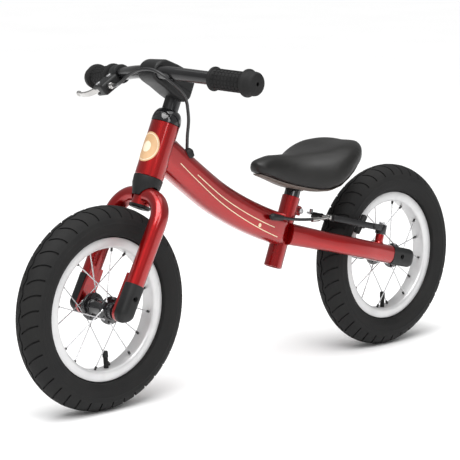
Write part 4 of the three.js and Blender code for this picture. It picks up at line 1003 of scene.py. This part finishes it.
# ---- rear brake --------------------------------------------------------------------------------
# Two black forged arms that lie along the chainstays and turn on posts behind. A bent steel tube
# leads the wire across their free ends, under a rubber boot, and each arm carries a rubber block.

pad_rubber = finish("pad_rubber", (0.014, 0.014, 0.0145), (0.026, 0.026, 0.026), (0.6, 0.75), 60, 1500, 0.2)
ARM_SHAPE = [
    (55, -73), (53.6, -102), (45, -126), (38, -144), (26, -168), (15, -168), (15, -159),
    (27, -139), (33, -122), (39, -101), (41, -73),
]
LEVEL = 40
for side, word in ((1, "left"), (-1, "right")):
    body = f"brake_{word}"
    arm = lay_loop("arm", [(side * x, y, LEVEL - 5) for x, y in ARM_SHAPE])
    bpy.ops.mesh.edge_face_add()
    bpy.ops.mesh.extrude_region_move(TRANSFORM_OT_translate={"value": (0, 0, 10)})
    soften(close_up(arm), 1.6, 4, 30)
    knuckle = soften(rod("knuckle", 9, 15.7, (side * 48, -73, 38.15), "Z", 44), 1)
    arm = joined(f"brake_arm_forged_{word}", arm, knuckle)
    cut_away(
        arm,
        rod("pivot_hole", 3.3, 60, (side * 48, -73, LEVEL), "Z"),
        rod("pad_hole", 3.3, 60, (side * 48, -94.5, LEVEL), "X"),
    )
    put(arm, stay_frame, black_steel, body, "black_steel", f"brake_arm_{word}")
    bolt_head = soften(rod("bolt_head", 5.4, 4, (side * 48, -73, 48.3), "Z", 6), 0.6)
    cut_away(bolt_head, rod("socket", 2.6, 2.6, (side * 48, -73, 50), "Z", 6))
    bolt = joined(f"pivot_bolt_{word}", rod("shank", 3, 27.3, (side * 48, -73, 33.65), "Z", 28), bolt_head)
    put(bolt, stay_frame, bright_steel, "frame", "steel", f"brake_pivot_bolt_{word}")
    lean = Matrix.Rotation(-atan2(LEVEL, 94.5), 4, "X")
    block = rounded_block("block", (8, 9, 34), (0, 0, 0), 1.6)
    block.data.transform(lean)
    washers = [
        soften(rod("washer", 6.4, 2.6, (side * 6.6, 0, 0), "X", 32), 0.4),
        soften(rod("nut", 5.2, 5, (side * 33.5, 0, 0), "X", 6), 0.5),
    ]
    stud = rod("stud", 3, 36, (side * 18.6, 0, 0), "X", 24)
    pad = joined(f"brake_block_{word}", block, stud, *washers)
    pad.data.transform(Matrix.Translation((side * 20.7, -94.5, LEVEL)))
    put(pad, stay_frame, pad_rubber, body, "black_rubber", f"brake_pad_{word}")

guide_points = [
    (30, -224, 29.4), (30, -206, 33.6), (29.5, -190, 38), (25, -180, 40), (16, -176, 40), (3, -176, 40),
]
bend = smooth_line(guide_points, 40)
pipe = pull_along("pipe", ring_section(2.4, 20), stations_on(bend, (1, 0, 0)))
sleeve_run = stations_on([bend[0], bend[0].lerp(bend[8], 0.9)], (1, 0, 0))
sleeve = pull_along("sleeve", ring_section(3.6, 24), sleeve_run)
soften(sleeve, 0.6, 2)
link = rounded_block("link", (6, 12.3, 8), (20, -174.2, LEVEL), 1.6)
noodle = joined("wire_guide", pipe, sleeve, link)
put(noodle, stay_frame, polished, "brake_left", "steel", "brake_noodle")
wire = rod("wire", 0.8, 15.5, (-18.25, -176, LEVEL), "X", 12)
anchor = rounded_block("anchor", (9, 11.5, 3), (-21, -174.5, 42), 0.7)
anchor_bolt = soften(rod("anchor_bolt", 3.2, 8, (-21, -174.5, 45), "Z", 6), 0.5)
wire = joined("brake_wire_and_anchor", wire, anchor, anchor_bolt)
put(wire, stay_frame, bright_steel, "brake_right", "steel", "brake_wire")
folds = [(3.3 + 1.1 * (k / 12) + (0.35 if k % 2 else -0.1), -14 + 1.72 * k) for k in range(13)]
boot = turn("wire_boot_moulded", [(1.4, -14), *folds, (3.4, 7), (3.4, 0), (1.4, -10)], 32, "X")
boot.data.transform(Matrix.Translation((0, -176, LEVEL)))
put(boot, stay_frame, grip_rubber, "brake_right", "black_rubber", "brake_wire_boot")
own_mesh(boot)

# ---- saddle ------------------------------------------------------------------------------------
# A foam pad under black leatherette, dished across its wide tail and raised at the back, drawn down
# over a moulded base that sits on the seat post. The cover is closed with a piped seam low down.

UNDER = [(0, 6), (20, 0), (50, -12), (80, -22), (116, -30), (137, -25), (166, -6), (200, 8), (231, 20)]
TOP = [(0, 22), (8, 26), (40, 27), (90, 24), (130, 31), (170, 41), (205, 45), (225, 40), (231, 30)]


def height_at(line, y):
    for (y0, z0), (y1, z1) in zip(line, line[1:]):
        if y <= y1:
            return z0 + (z1 - z0) * max(0, (y - y0) / (y1 - y0))
    return line[-1][1]


def eased(line, y):
    """A height along the saddle, averaged over its neighbourhood."""
    return sum(height_at(line, min(231, max(0, y + d))) for d in (-8, -4, 0, 4, 8)) / 5


def half_width(y):
    """Half of the saddle's width at y from the nose."""
    marks = [
        (0, 0.0), (2, 9), (6, 14.5), (12, 18.4), (22, 20.6), (36, 21.6), (56, 25), (76, 33), (94, 45),
        (110, 57), (126, 67.5), (142, 72.6), (156, 73), (172, 70), (190, 61.5), (206, 49), (218, 35),
        (226, 20), (231, 0),
    ]
    for (y0, w0), (y1, w1) in zip(marks, marks[1:]):
        if y <= y1:
            return w0 + (w1 - w0) * (y - y0) / (y1 - y0)
    return 0.0


def saddle_ring(y):
    """One cross-section of the pad, from the seam on the right over the top to the left."""
    wide = max(1.0, half_width(y))
    top, under = eased(TOP, y), eased(UNDER, y)
    edge = under + (top - under) * 0.3
    dish = 4.5 * max(0, min(1, (y - 100) / 50)) * max(0, min(1, (226 - y) / 30))
    points = []
    for k in range(25):
        a = pi * k / 24
        x, up = cos(a), sin(a)
        x = (1 if x >= 0 else -1) * abs(x) ** 0.74
        crown_height = top - dish * (1 - min(1, abs(x) / 0.62) ** 2)
        points.append((wide * x, y, edge + (crown_height - edge) * up**0.6))
    low = [(-0.99, 0.5), (-0.96, 0.15), (-0.9, 0.0)]
    for x, h in low + [(-x, h) for x, h in reversed(low)]:
        points.append((wide * x, y, under + (edge - under) * h))
    return points


leatherette = finish(
    "leatherette", (0.008, 0.0078, 0.0075), (0.013, 0.0127, 0.012), (0.36, 0.46), 14, 700, 0.2, shine=0.3
)
hide = leatherette.node_tree.nodes
cells = hide.new("ShaderNodeTexVoronoi")
cells.inputs["Scale"].default_value = 900
cells.feature = "DISTANCE_TO_EDGE"
leatherette.node_tree.links.new(hide["Texture Coordinate"].outputs["Object"], cells.inputs["Vector"])
leatherette.node_tree.links.new(cells.outputs["Distance"], hide["Bump"].inputs["Height"])

slices = [
    0.8, 3, 7, 12, 18, 26, 36, 48, 60, 72, 84, 96, 108, 120, 132, 144, 156, 168, 180, 190, 200, 208, 216,
    222, 227, 230,
]
rings = [saddle_ring(y) for y in slices]
pad = lay_loop("saddle_cushion", rings[0])
bpy.ops.mesh.edge_face_add()
for before, after in zip(rings, rings[1:]):
    before, after = [Vector(p) for p in before], [Vector(p) for p in after]
    bpy.ops.mesh.extrude_region_move()
    for vertex in bmesh.from_edit_mesh(pad.data).verts:
        if vertex.select:
            nearest = min(range(len(before)), key=lambda i: (before[i] - vertex.co).length)
            vertex.co = after[nearest]
close_up(pad)

saddle_frame = MM @ Matrix.Translation((0, 0, 320))


def puff_up(piece, most):
    """Fills a cover with a cloth simulation, no point moving further than most or into the base."""
    bpy.ops.object.select_all(action="DESELECT")
    bpy.context.view_layer.objects.active = piece
    piece.select_set(True)
    bpy.ops.object.modifier_add(type="REMESH")
    piece.modifiers[-1].mode = "VOXEL"
    piece.modifiers[-1].voxel_size = 0.0045
    bpy.ops.object.modifier_apply(modifier=piece.modifiers[-1].name)
    rest = [v.co.copy() for v in piece.data.vertices]
    bpy.ops.object.modifier_add(type="CLOTH")
    cloth = piece.modifiers[-1]
    cloth.settings.use_pressure = True
    cloth.settings.uniform_pressure_force = 4
    cloth.settings.effector_weights.gravity = 0
    cloth.settings.tension_stiffness = 40
    cloth.settings.compression_stiffness = 40
    for step in range(1, 21):
        bpy.context.scene.frame_set(step)
    bpy.ops.object.modifier_apply(modifier=cloth.name)
    bpy.context.scene.frame_set(1)
    for vertex, old in zip(piece.data.vertices, rest):
        moved = vertex.co - old
        if vertex.normal.z < -0.5:
            moved.z = max(0, moved.z)
            vertex.co = old + moved
        if moved.length > most:
            vertex.co = old + moved.normalized() * most
    bpy.ops.object.modifier_add(type="SMOOTH")
    piece.modifiers[-1].factor = 0.5
    piece.modifiers[-1].iterations = 8
    bpy.ops.object.modifier_apply(modifier=piece.modifiers[-1].name)
    bpy.ops.object.modifier_add(type="SUBSURF")
    piece.modifiers[-1].levels = piece.modifiers[-1].render_levels = 1
    bpy.ops.object.modifier_apply(modifier=piece.modifiers[-1].name)


put(pad, saddle_frame, leatherette, "saddle", "leatherette", "saddle_pad")
puff_up(pad, 0.0025)
bpy.ops.object.shade_smooth()

# ---- saddle base and seat post -----------------------------------------------------------------
# A taupe nylon shell under the pad with a socket for the post, and a gloss black steel post, 25 mm
# thick, that slides in the seat tube.

taupe = finish("taupe_nylon", (0.10, 0.080, 0.068), (0.14, 0.115, 0.10), (0.5, 0.62), 30, 1300, 0.15)
base_rings = []
for y in [10, 14, 20, 30, 44, 60, 76, 92, 108, 124, 140, 156, 172, 188, 202, 212, 218]:
    wide = max(2, half_width(y) - 9)
    under = eased(UNDER, y)
    sag = 2.4 + 3.2 * min(1, wide / 18)
    base_rings.append([
        (wide, y, under - 0.6), (wide * 0.97, y, under - 2), (wide * 0.82, y, under - sag * 0.8),
        (wide * 0.5, y, under - sag), (0, y, under - sag), (-wide * 0.5, y, under - sag),
        (-wide * 0.82, y, under - sag * 0.8), (-wide * 0.97, y, under - 2), (-wide, y, under - 0.6),
    ])
base = lay_loop("base", base_rings[0])
bpy.ops.mesh.edge_face_add()
for before, after in zip(base_rings, base_rings[1:]):
    before, after = [Vector(p) for p in before], [Vector(p) for p in after]
    bpy.ops.mesh.extrude_region_move()
    for vertex in bmesh.from_edit_mesh(base.data).verts:
        if vertex.select:
            nearest = min(range(len(before)), key=lambda i: (before[i] - vertex.co).length)
            vertex.co = after[nearest]
close_up(base)
to_saddle = saddle_frame.inverted() @ seat_frame
socket = turn("socket", [(13.1, 131), (15.6, 131), (16.4, 132), (16.4, 146), (13.1, 146)], 48)
socket.data.transform(to_saddle)
base = joined("saddle_shell", base, socket)
put(base, saddle_frame, taupe, "saddle", "taupe_plastic", "saddle_base")
post = soften(rod("post", 12.7, 111, (0, 0, 88.5), "Z", 64), 0.8)
post.name = "seat_post_drawn"
put(post, seat_frame, gloss_black, "saddle", "gloss_black", "seat_post")
